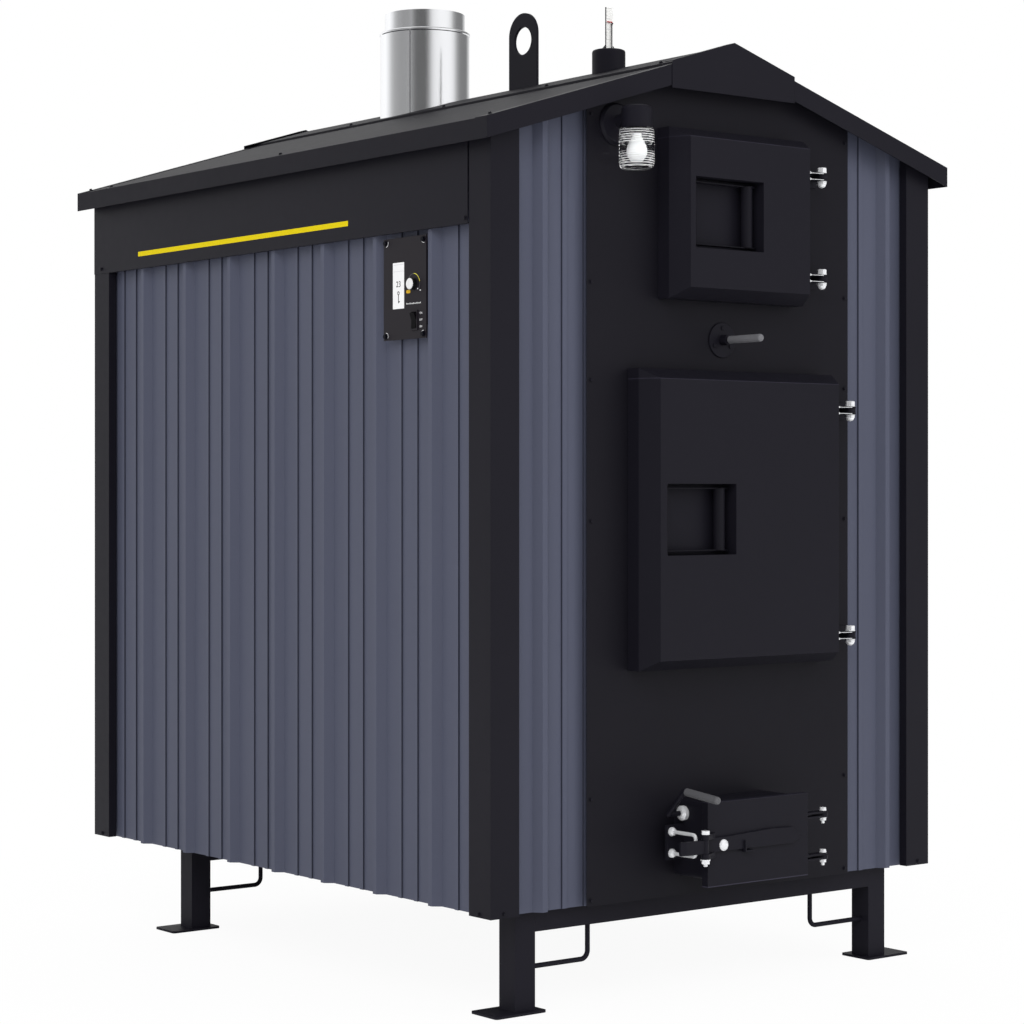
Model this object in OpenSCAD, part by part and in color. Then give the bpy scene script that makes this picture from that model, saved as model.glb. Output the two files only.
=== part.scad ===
// Outdoor wood boiler: an insulated water jacket round a firebox, in a ribbed steel casing on four legs.
// Front (doors) towards -Y, up is +Z. Millimetres. The modules are drawn about the centre of the casing;
// at() then puts the origin under the middle of the whole object's box.

/* [Casing] */
// Width over the corner trims
body_w = 1454; // [1400:2:1560]
// Depth over the corner trims
body_d = 1864; // [1800:2:2000]
// Height of the casing's lower edge above the floor
skirt_z = 239; // [232:1:280]
// Height of the eaves above the floor
eave_z = 2072; // [2060:1:2160]
// Thickness of the ribbed siding
sheet_t = 1.2; // [0.8:0.1:1.6]
// Thickness of the flat casing parts
panel_t = 1.5; // [1:0.1:2]
// Width of each leg of a corner trim
trim_leg = 83; // [78:1:100]
// Depth of the siding's flats behind the trim faces
trim_depth = 28.5; // [26:0.5:34]
// Half width of the flat front panel
front_panel_half_w = 435; // [425:1:450]

/* [Siding ribs] */
// Distance between main ribs
rib_pitch = 228.6; // [220:0.1:240]
// Height of a main rib
rib_h = 19; // [15:0.5:20]
// Width of a main rib across its top
rib_top = 15; // [12:1:20]
// Width of a main rib at its foot
rib_foot = 47; // [40:1:55]
// Height of a minor rib
minor_h = 4; // [2:0.5:5]
// Width of a minor rib across its top
minor_top = 14; // [8:1:18]
// Width of a minor rib's flank
minor_flank = 1; // [0.5:0.5:4]
// Distance from a main rib to the minor ribs beside it
minor_offset = 81.55; // [75:0.05:90]
// Place of the side siding's lap, from the casing's middle towards the rear
lap_y = 36; // [30:1:42]
// Distance of the first main rib in front of the middle of the side
side_rib_y = 1.8; // [-2:0.1:4]
// Sideways place of the end walls' rib pattern
end_rib_x = 12; // [6:0.5:18]

/* [Roof] */
// Height of the ridge above the eaves
roof_rise = 237; // [230:1:280]
// Roof overhang at each side
side_overhang = 37; // [30:1:60]
// Roof overhang at front and rear
end_overhang = 34; // [30:1:60]
// Depth of the eave and rake fascias
fascia_h = 49; // [40:1:60]
// Thickness of the roof sheet
roof_t = 2; // [1:0.5:3]
// Width of each wing of the ridge cap
ridge_wing = 170; // [150:1:190]
// Height of the ridge cap's hems
ridge_hem = 4; // [3.5:0.5:6]
// Half width of a peak plate
peak_half_w = 204; // [190:1:230]
// Distance from the ridge down to a peak plate's lower edge
peak_drop = 118; // [105:1:130]
// Distance a peak plate stands above the roof
peak_proud = 11; // [9:1:14]

/* [Base] */
// Side of the square leg tube
leg_size = 60; // [50:1:70]
// Wall of the square tubes
tube_wall = 4; // [3:0.5:6]
// Distance from the middle to the outside of a leg
leg_outer_x = 616; // [605:1:630]
// Setback of the front legs from the front trim face
front_setback = 52; // [45:1:70]
// Setback of the rear legs from the rear trim face
rear_setback = 293; // [250:1:320]
// Thickness of a foot plate
foot_t = 6; // [5:1:10]
// Distance a foot plate reaches outwards past its leg
foot_out = 70; // [60:1:80]
// Distance a foot plate reaches past its leg on the other sides
foot_lip = 20; // [15:1:30]
// Depth of the floor pan's lip below the frame's top
pan_lip = 9; // [7:0.5:10]
// Diameter of a tie rod
tie_rod_d = 12; // [10:0.5:14]
// Height of a tie rod's lower run
tie_rod_z = 101; // [90:1:120]
// Distance from the middle to a tie rod's upright
tie_rod_x = 372; // [350:1:400]
// Bend radius of a tie rod
tie_bend_r = 20; // [16:1:30]

/* [Upper door] */
// Width
upper_w = 448; // [440:1:460]
// Height
upper_h = 412; // [400:1:420]
// Sideways place of its middle
upper_x = 11; // [5:1:20]
// Distance of its middle below the ridge
upper_below_ridge = 418; // [410:1:435]
// Distance from the door's top to the upper hinge
upper_hinge_top = 85; // [75:1:95]
// Distance from the door's foot to the lower hinge
upper_hinge_foot = 71; // [65:1:85]
// Distance of the pocket's middle from the door's middle
upper_pocket_x = 71; // [60:1:85]

/* [Lower door] */
// Width
lower_w = 645; // [630:1:655]
// Height
lower_h = 722; // [700:1:735]
// Sideways place of its middle
lower_x = 13.5; // [5:0.5:20]
// Height of its middle above the casing's lower edge
lower_above_skirt = 914; // [900:1:925]
// Distance from the door's top to the upper hinge
lower_hinge_top = 88; // [75:1:100]
// Distance from the door's foot to the lower hinge
lower_hinge_foot = 63; // [55:1:80]
// Distance of the pocket's middle from the door's middle
lower_pocket_x = 165; // [150:1:175]

/* [Door parts] */
// Depth of a door's skin
door_depth = 91; // [88:1:95]
// Depth of its straight sides
door_straight = 40; // [36:1:44]
// Width of its bevel
door_bevel = 25; // [18:1:30]
// Thickness of a door's skin
door_skin_t = 3; // [2:0.5:4]
// Width of a handle pocket
pocket_w = 223; // [210:1:230]
// Height of a handle pocket
pocket_h = 171; // [160:1:180]
// Depth of a handle pocket
pocket_depth = 50; // [48:1:54]
// Diameter of a handle's pivot pin
handle_pin_d = 10; // [8:0.5:12]
// Width of a handle's grip
grip_w = 31; // [26:1:36]
// Thickness of the handle's plates
handle_t = 3; // [2:0.5:4]
// Distance a door frame stands out of the front panel
frame_stand = 16; // [14:1:18]
// Wall of a door frame
frame_wall = 6; // [5:0.5:8]
// Side of the square rope gasket
gasket_size = 12; // [10:0.5:13]

/* [Hinges] */
// Distance from a door's edge to its hinge bolt
hinge_reach = 61; // [56:1:70]
// Distance from the front panel to the hinge bolts
hinge_stand = 46; // [42:1:48]
// Diameter of a hinge bolt
hinge_bolt_d = 14; // [12:0.5:16]
// Thickness of a hinge bracket
bracket_t = 11; // [9:0.5:12]
// Thickness of a hinge ear
ear_t = 4; // [3:0.5:5]
// Half width of a hinge ear at its bolt
ear_r = 15; // [14:0.5:18]

/* [Ash clean-out] */
// Width of the neck
neck_w = 307; // [300:1:320]
// Height of the neck
neck_h = 184; // [180:1:200]
// Sideways place of the neck's middle
neck_x = -7.5; // [-15:0.5:0]
// Height of the neck's middle above the casing's lower edge
neck_above_skirt = 143; // [140:1:150]
// Length of the neck in front of the panel
neck_len = 106; // [100:1:112]
// Wall of the neck
neck_wall = 5; // [4:0.5:7]
// Thickness of the clean-out door
ash_door_t = 20; // [16:1:24]
// Distance from the clean-out door's edge to its hinge bolts
ash_hinge_reach = 66.5; // [62:0.5:78]
// Height of the latch bar above the neck's middle
latch_rise = -6; // [-12:1:0]
// Height of the latch bar
latch_h = 33; // [28:1:38]
// Thickness of the latch bar
latch_t = 8; // [6:0.5:9]
// Distance from the neck's side to the latch bolt
latch_bolt_out = 28; // [24:1:34]
// Length of the latch arm past its bolt
latch_arm_len = 76; // [65:1:85]
// Height of the lever shaft above the neck's middle
lever_rise = 62; // [58:1:64]
// Diameter of the lever rod
lever_d = 12; // [10:0.5:13]
// Diameter of the grips
grip_d = 19; // [17:0.5:22]
// Length of the grips
grip_len = 115; // [100:1:125]

/* [Damper control] */
// Diameter of the escutcheon
escutcheon_d = 87; // [80:1:95]
// Diameter of the pull rod
damper_rod_d = 12; // [10:0.5:13]
// Height of the rod above the firebox crown
damper_rise = 33; // [30:1:36]
// Travel of the pull rod
damper_travel = 150; // [100:5:160]

/* [Ridge fittings] */
// Diameter of the chimney casing
chimney_d = 254; // [230:1:270]
// Diameter of the chimney collar
collar_d = 228; // [200:1:228]
// Bore of the chimney collar
flue_bore_d = 220; // [180:1:222]
// Distance of the chimney behind the casing's middle
chimney_y = 325; // [300:5:340]
// Height of the chimney casing above the ridge
chimney_rise = 214; // [180:1:260]
// Height of the collar above the chimney casing
collar_rise = 52; // [40:1:60]
// Width of the lifting lug
lug_w = 120; // [110:1:130]
// Thickness of the lifting lug
lug_t = 8; // [6:1:12]
// Diameter of the lug's hole
lug_hole_d = 75; // [60:1:80]
// Distance of the hole's middle below the lug's top
lug_hole_drop = 75; // [70:1:80]
// Height of the lug above the ridge
lug_rise = 207; // [190:1:230]
// Distance of the lug's middle in front of the casing's middle
lug_y = 131; // [115:1:150]
// Diameter of the gauge cap
gauge_d = 87; // [80:0.5:92]
// Height of the gauge cap above the ridge
gauge_rise = 58; // [50:1:65]
// Distance of the gauge in front of the casing's middle
gauge_y = 488; // [475:1:500]
// Height of the gauge scale above its cap
scale_h = 111; // [105:1:130]
// Width of the gauge scale
scale_w = 24; // [20:1:28]
// Diameter of the gauge wire
wire_d = 3; // [2:0.5:4]

/* [Light] */
// Distance of the light from the middle, to the left
light_x = 347.5; // [340:0.5:355]
// Height of the light's canopy above the eaves
light_rise = 23; // [18:1:30]
// Diameter of the canopy
canopy_d = 100; // [90:1:110]
// Distance from the front panel to the lamp's axis
light_stand = 79; // [76:1:90]
// Diameter of the lamp's cap
lamp_cap_d = 73; // [70:1:76]
// Diameter of the glass jar
jar_d = 85; // [80:0.2:88]
// Height of the glass jar
jar_h = 95; // [90:1:105]
// Diameter of the bulb
bulb_d = 49.5; // [46:0.5:56]

/* [Side control] */
// Width of the control plate
control_w = 174; // [168:1:180]
// Height of the control plate
control_h = 245; // [236:1:254]
// Distance of the plate's middle in front of the casing's middle
control_y = 586; // [580:0.5:592]
// Distance of the plate's middle below the eaves
control_below_eave = 365; // [355:1:375]
// Diameter of the knob
knob_d = 28; // [24:1:32]
// Height of the rocker switch
rocker_h = 40; // [36:1:46]

/* [Sign board] */
// Length of the bare board
sign_len = 1778; // [1700:2:1778]
// Distance from the eaves down to the board's lower edge
sign_drop = 231; // [215:1:235]

/* [Boiler] */
// Width of the water jacket
jacket_w = 1200; // [1190:2:1210]
// Setback of the jacket's front from the front trim face
jacket_front = 132; // [125:1:140]
// Setback of the jacket's rear from the rear trim face
jacket_rear = 232; // [225:1:240]
// Distance of the jacket's top below the eaves
jacket_below_eave = 2; // [0:1:10]
// Wall of the jacket
jacket_wall = 6; // [5:0.5:8]
// Width of the firebox
firebox_w = 800; // [760:2:820]
// Height of the firebox floor above the rails
firebox_floor = 230; // [226:1:236]
// Height of the firebox's crown plate above the lower door's top
crown_over_door = 45.5; // [40:0.5:50]
// Wall of the firebox
firebox_wall = 8; // [6:0.5:10]
// Length of the firebox
firebox_len = 1260; // [1200:5:1280]
// Width of the firing mouth's frame
mouth_w = 492; // [470:1:510]
// Height of the firing mouth's frame
mouth_h = 552; // [530:1:570]
// Width of the smoke box
smoke_w = 360; // [350:1:366]
// Height of the smoke box
smoke_h = 300; // [290:1:306]
// Length of the smoke box behind the jacket's front
smoke_len = 240; // [220:1:260]
// Outer diameter of a fire tube
fire_tube_d = 60; // [50:1:64]
// Wall of a fire tube
fire_tube_wall = 4; // [3:0.5:5]
// Length of the flue box under the chimney
flue_len = 350; // [340:1:360]
// Length of the grate
grate_len = 760; // [700:10:780]
// Thickness of the grate
grate_t = 20; // [15:1:25]
// Bore of the water ports
port_bore_d = 38.4; // [34:0.2:42]
// Half distance between the water ports
port_x = 200; // [190:1:230]

/* [Blower] */
// Radius of the blower wheel
wheel_r = 60; // [50:1:64]
// Width of the blower wheel
wheel_w = 56; // [48:1:60]
// Number of blower blades
blades = 20; // [12:1:28]
// Diameter of the air tube
air_tube_d = 60; // [50:1:64]

/* [Hidden] */
$fn = 64;

// Clearances
slip = 0.05;       // radial running clearance of a pin in its bore
gap = 0.3;         // between faces that move past each other
weld_gap = 0.4;    // round a tube in the hole it is welded or screwed through
lap_lift = 0.8;    // how far the front side sheet stands out at the lap
past = 1;          // how far a cut runs past the solid it cuts

// Casing planes
half_w = body_w / 2;
half_d = body_d / 2;
side_pan = half_w - trim_depth;
end_pan = half_d - trim_depth;
wall_y = -(end_pan + rib_h + panel_t);
frame_top = skirt_z + pan_lip;
rail_z0 = frame_top + panel_t;
rail_z1 = rail_z0 + leg_size;

// Roof planes
roof_half_w = half_w + side_overhang;
roof_half_d = half_d + end_overhang;
ridge_z = eave_z + roof_rise;
slope = roof_rise / roof_half_w;
roof_angle = atan(slope);
roof_drop = roof_t / cos(roof_angle);
function roof_z(x) = ridge_z - slope * abs(x);
function under_z(x) = roof_z(x) - roof_drop - gap;

// Boiler planes
jacket_y0 = -half_d + jacket_front;
jacket_y1 = half_d - jacket_rear;
jacket_z1 = eave_z - jacket_below_eave;
firebox_z0 = rail_z1 + firebox_floor;
upper_z = ridge_z - upper_below_ridge;
lower_z = skirt_z + lower_above_skirt;
crown_z = lower_z + lower_h / 2 + crown_over_door;
firebox_z1 = crown_z + 80;
firebox_y0 = jacket_y0 + 80;
firebox_y1 = firebox_y0 + firebox_len;
neck_x0 = neck_x - neck_w / 2;
neck_x1 = neck_x + neck_w / 2;
neck_z = skirt_z + neck_above_skirt;
frame_y = wall_y - frame_stand;
damper_x = -4;
damper_z = crown_z + damper_rise;
smoke_y1 = jacket_y0 + smoke_len;
flue_y0 = chimney_y - flue_len / 2;
flue_y1 = chimney_y + flue_len / 2;
compartment_w = 600;
compartment_h = 720;

// Doors
casing_back = 1;
liner_y = frame_y - gap - gasket_size;
liner_t = 4;
grip_r = grip_w / 2;
pivot_inset = 21.5;
pivot_depth = 30;
arm_rise = pocket_h / 2 - 10.5;
handle_span = pocket_w - pivot_inset - 6;
ear_lift = bracket_t / 2 + gap;

// Ash clean-out
neck_y0 = wall_y - neck_len;
ash_door_y = neck_y0 - gap;
ash_face_y = ash_door_y - ash_door_t;
ash_lip = 4;
ash_door_top = neck_h / 2 + 3;
ash_door_foot = -neck_h / 2 - 16;
ash_hinge_x = neck_x1 + ash_lip + 18 + ash_hinge_reach;
ash_hinge_y = ash_door_y - 5;
latch_z = neck_z + latch_rise;
latch_x = neck_x0 - latch_bolt_out;
latch_y = ash_face_y - 18;
knuckle_t = 13;
stop_x = neck_x - 47;
lever_y = wall_y - 37;
lever_z = neck_z + lever_rise;
lever_out = 50;
lever_x = neck_x0 - lever_out;
grip_tilt = 5.5;
grip_nose_r = grip_d / 2 - 4.5;
grip_reach = grip_len * cos(grip_tilt) + grip_nose_r * sin(grip_tilt);
grip_start = [lever_x, wall_y - 215 + grip_reach, lever_z + 60];
ear_thin = 5;
ash_hinges = [37, -67];
ash_bolt_d = 10;

// Whole object
front_reach = grip_reach - grip_start[1];
rear_reach = roof_half_d + panel_t;
origin_shift = (front_reach - rear_reach) / 2;

// ---- helpers

module at() { translate([0, origin_shift, 0]) children(); }

// A block given by its lowest and highest corners
module span(lo, hi) { translate(lo) cube(hi - lo); }

// A flat outline in X and Z, from y1 forward by t
module sheet_xz(y1, t) { translate([0, y1, 0]) rotate([90, 0, 0]) linear_extrude(height = t) children(); }

// A flat outline in Y and Z, from x0 to the right by t
module sheet_yz(x0, t) { translate([x0, 0, 0]) rotate([90, 0, 90]) linear_extrude(height = t) children(); }

// A round bar from p to q
module bar(p, q, d) {
  v = q - p;
  translate(p) rotate([0, acos(v[2] / norm(v)), atan2(v[1], v[0])]) cylinder(norm(v), d = d);
}

// A round bar along Y
module rod_y(x, y0, y1, z, d) { translate([x, y0, z]) rotate([-90, 0, 0]) cylinder(y1 - y0, d = d); }

module raise(z) { translate([0, 0, z]) children(); }

// A profile turned round Z
module turned(points) { rotate_extrude() polygon(points); }

// A round bar along X
module rod_x(x0, x1, y, z, d) { translate([x0, y, z]) rotate([0, 90, 0]) cylinder(x1 - x0, d = d); }

// A round hole along Z through what is h thick
module hole(h, d) { raise(-past) cylinder(h + 2 * past, d = d); }

// A block from x0 to x1 about the line at y and z, w wide and h high
module block_x(x0, x1, y, z, w, h) { span([x0, y - w / 2, z - h / 2], [x1, y + w / 2, z + h / 2]); }

// A block from y0 to y1 about the line at x and z
module block_y(y0, y1, x, z, w, h) { span([x - w / 2, y0, z - h / 2], [x + w / 2, y1, z + h / 2]); }

// The firing mouth's and the smoke box's outsides, from y0 to y1
module mouths(y0, y1) {
  block_y(y0, y1, lower_x, lower_z, mouth_w, mouth_h);
  block_y(y0, y1, upper_x, upper_z, smoke_w, smoke_h);
}

// A passage along Y of four plates
module walls(lo, hi, t) {
  for (z = [lo[2], hi[2] - t]) span([lo[0], lo[1], z], [hi[0], hi[1], z + t]);
  for (x = [lo[0], hi[0] - t]) span([x, lo[1], lo[2] + t + gap], [x + t, hi[1], hi[2] - t - gap]);
}

// A square tube along Z, from z0 to z1, centred on the origin
module square_tube(z0, z1) {
  difference() {
    translate([-leg_size / 2, -leg_size / 2, z0]) cube([leg_size, leg_size, z1 - z0]);
    translate([-leg_size / 2 + tube_wall, -leg_size / 2 + tube_wall, z0 - past])
      cube([leg_size - 2 * tube_wall, leg_size - 2 * tube_wall, z1 - z0 + 2 * past]);
  }
}

// A hexagon bar along Z
module hex(af, h) { cylinder(h, d = af / cos(30), $fn = 6); }

module mirrored_x() {
  children();
  mirror([1, 0, 0]) children();
}

// What lies under the roof
module under_roof() {
  intersection() {
    children();
    sheet_xz(roof_half_d, 2 * roof_half_d)
      polygon([[-half_w - past, 0], [half_w + past, 0], [half_w + past, under_z(half_w + past)],
               [0, under_z(0)], [-half_w - past, under_z(half_w + past)]]);
  }
}

// ---- base

leg_x = leg_outer_x - leg_size / 2;
front_leg_y = -half_d + front_setback + leg_size / 2;
rear_leg_y = half_d - rear_setback - leg_size / 2;

module at_legs() {
  for (y = [front_leg_y, rear_leg_y]) translate([0, y, 0]) mirrored_x() children();
}

module foot_outline() {
  w = leg_size + foot_out + foot_lip;
  d = leg_size + 2 * foot_lip;
  corner = 8;
  translate([leg_x - leg_size / 2 - foot_lip, -d / 2]) difference() {
    square([w, d]);
    for (x = [0, w], y = [0, d]) translate([x, y]) difference() {
      square(2 * corner, center = true);
      translate([x == 0 ? corner : -corner, y == 0 ? corner : -corner]) circle(corner);
    }
  }
}

module legs() {
  color("#26262a") at_legs() {
    linear_extrude(height = foot_t) foot_outline();
    translate([leg_x, 0, 0]) square_tube(foot_t, frame_top);
  }
}

module tie_rods() {
  leg_face = leg_x - leg_size / 2;
  elbow_x = tie_rod_x + tie_bend_r;
  color("#26262a") at_legs() {
    bar([leg_face, 0, tie_rod_z], [elbow_x, 0, tie_rod_z], tie_rod_d);
    translate([elbow_x, 0, tie_rod_z + tie_bend_r]) rotate([90, 0, 0]) rotate([0, 0, 180])
      rotate_extrude(angle = 90) translate([tie_bend_r, 0]) circle(d = tie_rod_d);
    bar([tie_rod_x, 0, tie_rod_z + tie_bend_r], [tie_rod_x, 0, frame_top - leg_size], tie_rod_d);
  }
}

module base_frame() {
  beam_half = leg_x - leg_size / 2;
  color("#26262a") {
    for (y = [front_leg_y, rear_leg_y])
      translate([0, y, frame_top - leg_size / 2]) rotate([0, 90, 0]) square_tube(-beam_half, beam_half);
    mirrored_x() translate([leg_x, 0, rail_z0 + leg_size / 2]) rotate([90, 0, 0])
      square_tube(-end_pan + 24, end_pan - 24);
  }
}

module floor_pan() {
  x = side_pan - sheet_t - gap;
  y = end_pan - sheet_t - gap;
  color("#2b2b30") difference() {
    span([-x, -y, skirt_z + 2], [x, y, rail_z0]);
    span([-x + panel_t, -y + panel_t, skirt_z], [x - panel_t, y - panel_t, frame_top]);
  }
}

// ---- boiler

tube_rows = [-100, -20, 60];
tube_cols = [-112, -37, 37, 112];
tube_bore = fire_tube_d - 2 * fire_tube_wall;

module at_tubes() {
  for (x = tube_cols, z = tube_rows) translate([upper_x + x, 0, upper_z + z]) rotate([-90, 0, 0]) children();
}

module chimney_hole(d) {
  translate([0, chimney_y, 0]) cylinder(ridge_z + 500, d = d);
}

module lug_slot(clear) {
  span([-lug_t / 2 - clear, -lug_y - lug_w / 2 - clear, jacket_z1 - past],
       [lug_t / 2 + clear, -lug_y + lug_w / 2 + clear, ridge_z + ridge_cap_top + past]);
}

gauge_pipe_d = 60;
gauge_pipe_bore = 54;
riser_w = 200;
riser_y0 = firebox_y0 + 40;
riser_y1 = riser_y0 + 100;

// The riser to the smoke box, from z0 to z1, smaller by t all round
module riser_block(z0, z1, t) {
  span([upper_x - riser_w / 2 + t, riser_y0 + t, z0], [upper_x + riser_w / 2 - t, riser_y1 - t, z1]);
}

module water_jacket() {
  w = jacket_wall;
  x = jacket_w / 2;
  color("#6d7075") difference() {
    span([-x, jacket_y0, rail_z1], [x, jacket_y1, jacket_z1]);
    span([-x + w, jacket_y0 + w, rail_z1 + w], [x - w, jacket_y1 - w, jacket_z1 - w]);
    mouths(jacket_y0 - past, jacket_y0 + w + past);
    // ash pit, through the front and the floor
    span([neck_x0, jacket_y0 - past, rail_z1 - past],
         [neck_x1, ash_pit_y1, neck_z + neck_h / 2]);
    // damper rod
    rod_y(damper_x, jacket_y0 - past, jacket_y0 + w + past, damper_z, sleeve_d);
    chimney_hole(collar_d - 6 + 2 * weld_gap);
    translate([0, -gauge_y, jacket_z1 - w - past]) cylinder(w + 2 * past, d = gauge_pipe_bore);
    for (s = [-1, 1]) rod_y(s * port_x, jacket_y1 - w - past, jacket_y1 + past, port_z, port_bore_d - 4);
    rod_y(0, jacket_y1 - w - past, jacket_y1 + past, air_z, air_tube_d + 2 * weld_gap);
  }
}

ash_pit_y1 = firebox_y0 + 20 + grate_len;
port_z = rail_z1 + 75;
air_z = neck_z;
sleeve_d = damper_rod_d + 12;
air_tube_wall = 3;

air_tube_reach = 24;

// The firebox, its mouth frame, the ash pit and the air tube: plates that meet at weld seams
module firebox() {
  t = firebox_wall;
  w = neck_wall;
  x = firebox_w / 2 - t - gap;
  pit_z0 = neck_z - neck_h / 2;
  tunnel_z1 = neck_z + neck_h / 2;
  pit_z1 = firebox_z0 - gap;
  sleeve_bore = sleeve_d - 8;
  y1 = firebox_y0 + t;
  in_x = mouth_w / 2 - frame_wall;
  in_z = mouth_h / 2 - frame_wall;
  front_z0 = firebox_z0 + t + gap;
  front_z1 = firebox_z1 - t - gap;
  color("#5b5d61") {
    difference() {
      walls([-firebox_w / 2, firebox_y0, firebox_z0], [firebox_w / 2, firebox_y1, firebox_z1], t);
      // riser to the smoke box
      riser_block(crown_z + t, firebox_z1 + past, t);
      // grate opening
      span([neck_x0 + w, firebox_y0 + 30, firebox_z0 - past], [neck_x1 - w, ash_pit_y1 - w, firebox_z0 + t + past]);
    }
    // front plates round the firing mouth; the one above it has the damper's hole
    for (side = [[-x, lower_x - in_x], [lower_x + in_x, x]]) span([side[0], firebox_y0, front_z0], [side[1], y1, front_z1]);
    span([lower_x - in_x + gap, firebox_y0, front_z0], [lower_x + in_x - gap, y1, lower_z - in_z]);
    difference() {
      span([lower_x - in_x + gap, firebox_y0, lower_z + in_z], [lower_x + in_x - gap, y1, front_z1]);
      rod_y(damper_x, firebox_y0 - past, y1 + past, damper_z, sleeve_bore);
    }
    // rear plate, and the crown plate with the damper's opening and a passage behind it
    span([-x, firebox_y1 - t, front_z0], [x, firebox_y1, front_z1]);
    difference() {
      span([-x, y1 + gap, crown_z], [x, firebox_y1 - t - 90, crown_z + t]);
      span([bypass_x0, bypass_y0, crown_z - past], [bypass_x1, bypass_y1, crown_z + t + past]);
    }
    walls([lower_x - mouth_w / 2, frame_y, lower_z - mouth_h / 2],
          [lower_x + mouth_w / 2, firebox_y0 - gap, lower_z + mouth_h / 2], frame_wall);
    // ash tunnel, and the pit's floor, sides, front and rear
    walls([neck_x0, wall_y + panel_t, pit_z0], [neck_x1, firebox_y0, tunnel_z1], w);
    span([neck_x0, firebox_y0 + gap, pit_z0], [neck_x1, ash_pit_y1, pit_z0 + w]);
    for (side = [neck_x0, neck_x1 - w])
      span([side, firebox_y0 + gap, pit_z0 + w + gap], [side + w, ash_pit_y1, pit_z1]);
    span([neck_x0 + w + gap, firebox_y0 + gap, tunnel_z1 - w], [neck_x1 - w - gap, firebox_y0 + w, pit_z1]);
    difference() {
      span([neck_x0 + w + gap, ash_pit_y1 - w, pit_z0 + w + gap], [neck_x1 - w - gap, ash_pit_y1, pit_z1]);
      rod_y(0, ash_pit_y1 - w - past, ash_pit_y1 + past, air_z, air_tube_d - 2 * air_tube_wall);
    }
    difference() {
      rod_y(0, ash_pit_y1 + gap, jacket_y1 + air_tube_reach, air_z, air_tube_d);
      rod_y(0, ash_pit_y1, jacket_y1 + air_tube_reach + past, air_z, air_tube_d - 2 * air_tube_wall);
    }
    // sleeve of the damper rod
    difference() {
      rod_y(damper_x, wall_y + panel_t, firebox_y0 - gap, damper_z, sleeve_d - 2 * weld_gap);
      rod_y(damper_x, wall_y, firebox_y0, damper_z, sleeve_bore);
    }
  }
}

bypass_w = 160;
bypass_x0 = damper_x - bypass_w / 2;
bypass_x1 = damper_x + bypass_w / 2;
bypass_y0 = firebox_y0 + 220;
bypass_y1 = bypass_y0 + 220;

module grate() {
  x0 = neck_x0 - 10;
  x1 = neck_x1 + 10;
  y0 = firebox_y0 + 20;
  z0 = firebox_z0 + firebox_wall;
  bar_pitch = 40;
  slots = floor((grate_len - 60) / bar_pitch);
  color("#3a3b3d") difference() {
    span([x0, y0, z0], [x1, y0 + grate_len, z0 + grate_t]);
    for (i = [0:slots - 1])
      translate([neck_x0 + 25, y0 + 40 + i * bar_pitch, z0 - past])
        cube([neck_w - 50, 18, grate_t + 2 * past]);
  }
}

module smoke_box() {
  t = jacket_wall;
  x0 = upper_x - smoke_w / 2;
  x1 = upper_x + smoke_w / 2;
  z0 = upper_z - smoke_h / 2;
  z1 = upper_z + smoke_h / 2;
  color("#5b5d61") {
    difference() {
      walls([x0, frame_y, z0], [x1, smoke_y1, z1], t);
      riser_block(z0 - past, z0 + t + past, t);
    }
    // tube sheet
    difference() {
      block_y(smoke_y1 - t, smoke_y1, upper_x, upper_z, smoke_w - 2 * (t + gap), smoke_h - 2 * (t + gap));
      at_tubes() raise(smoke_y1 - t) hole(t, tube_bore);
    }
    // riser
    difference() {
      riser_block(firebox_z1 + gap, z0 - gap, 0);
      riser_block(firebox_z1, z0, t);
    }
  }
}

module fire_tubes() {
  color("#77797d") at_tubes() raise(smoke_y1) difference() {
    cylinder(flue_y0 - smoke_y1, d = fire_tube_d);
    hole(flue_y0 - smoke_y1, tube_bore);
  }
}

module flue_box() {
  t = jacket_wall;
  color("#5b5d61") difference() {
    block_y(flue_y0, flue_y1, upper_x, upper_z, smoke_w, smoke_h);
    block_y(flue_y0 + t, flue_y1 - t, upper_x, upper_z, smoke_w - 2 * t, smoke_h - 2 * t);
    at_tubes() raise(flue_y0) hole(t, tube_bore);
    translate([0, chimney_y, upper_z + smoke_h / 2 - t]) hole(t, flue_bore_d);
  }
}

module insulation() {
  x0 = jacket_w / 2;
  x1 = side_pan - sheet_t - gap;
  y1 = end_pan - sheet_t - gap;
  top = jacket_z1;
  color("#c9b891") {
    // left, behind the control box
    difference() {
      span([-x1, -y1, rail_z1], [-x0, y1, top]);
      control_block(-x1 - past, -side_pan - rib_h + control_box_d, control_box_w, control_box_h);
    }
    span([x0, -y1, rail_z1], [x1, y1, top]);
    // front, round the necks
    difference() {
      span([-x0, -y1, rail_z1], [x0, jacket_y0, top]);
      mouths(-y1 - past, jacket_y0 + past);
      span([neck_x0, -y1 - past, rail_z1 - past],
           [neck_x1, jacket_y0 + past, neck_z + neck_h / 2]);
      rod_y(damper_x, -y1 - past, jacket_y0 + past, damper_z, sleeve_d);
    }
    // rear, round the blower's compartment
    difference() {
      span([-x0, jacket_y1, rail_z1], [x0, y1, top]);
      span([-compartment_w / 2, jacket_y1 - past, rail_z1 - past],
           [compartment_w / 2, y1 + past, rail_z1 + compartment_h]);
    }
  }
}

module water_ports() {
  len = end_pan + rib_h + 22 - jacket_y1;
  thread_len = 30;
  color("#b08d57") for (s = [-1, 1]) translate([s * port_x, jacket_y1, port_z]) rotate([-90, 0, 0]) difference() {
    cylinder(len, d = port_bore_d + 16);
    raise(-past) cylinder(len, d = port_bore_d - 4);
    raise(len - thread_len) cylinder(thread_len + past, d = port_bore_d);
  }
}

// ---- blower

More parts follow.
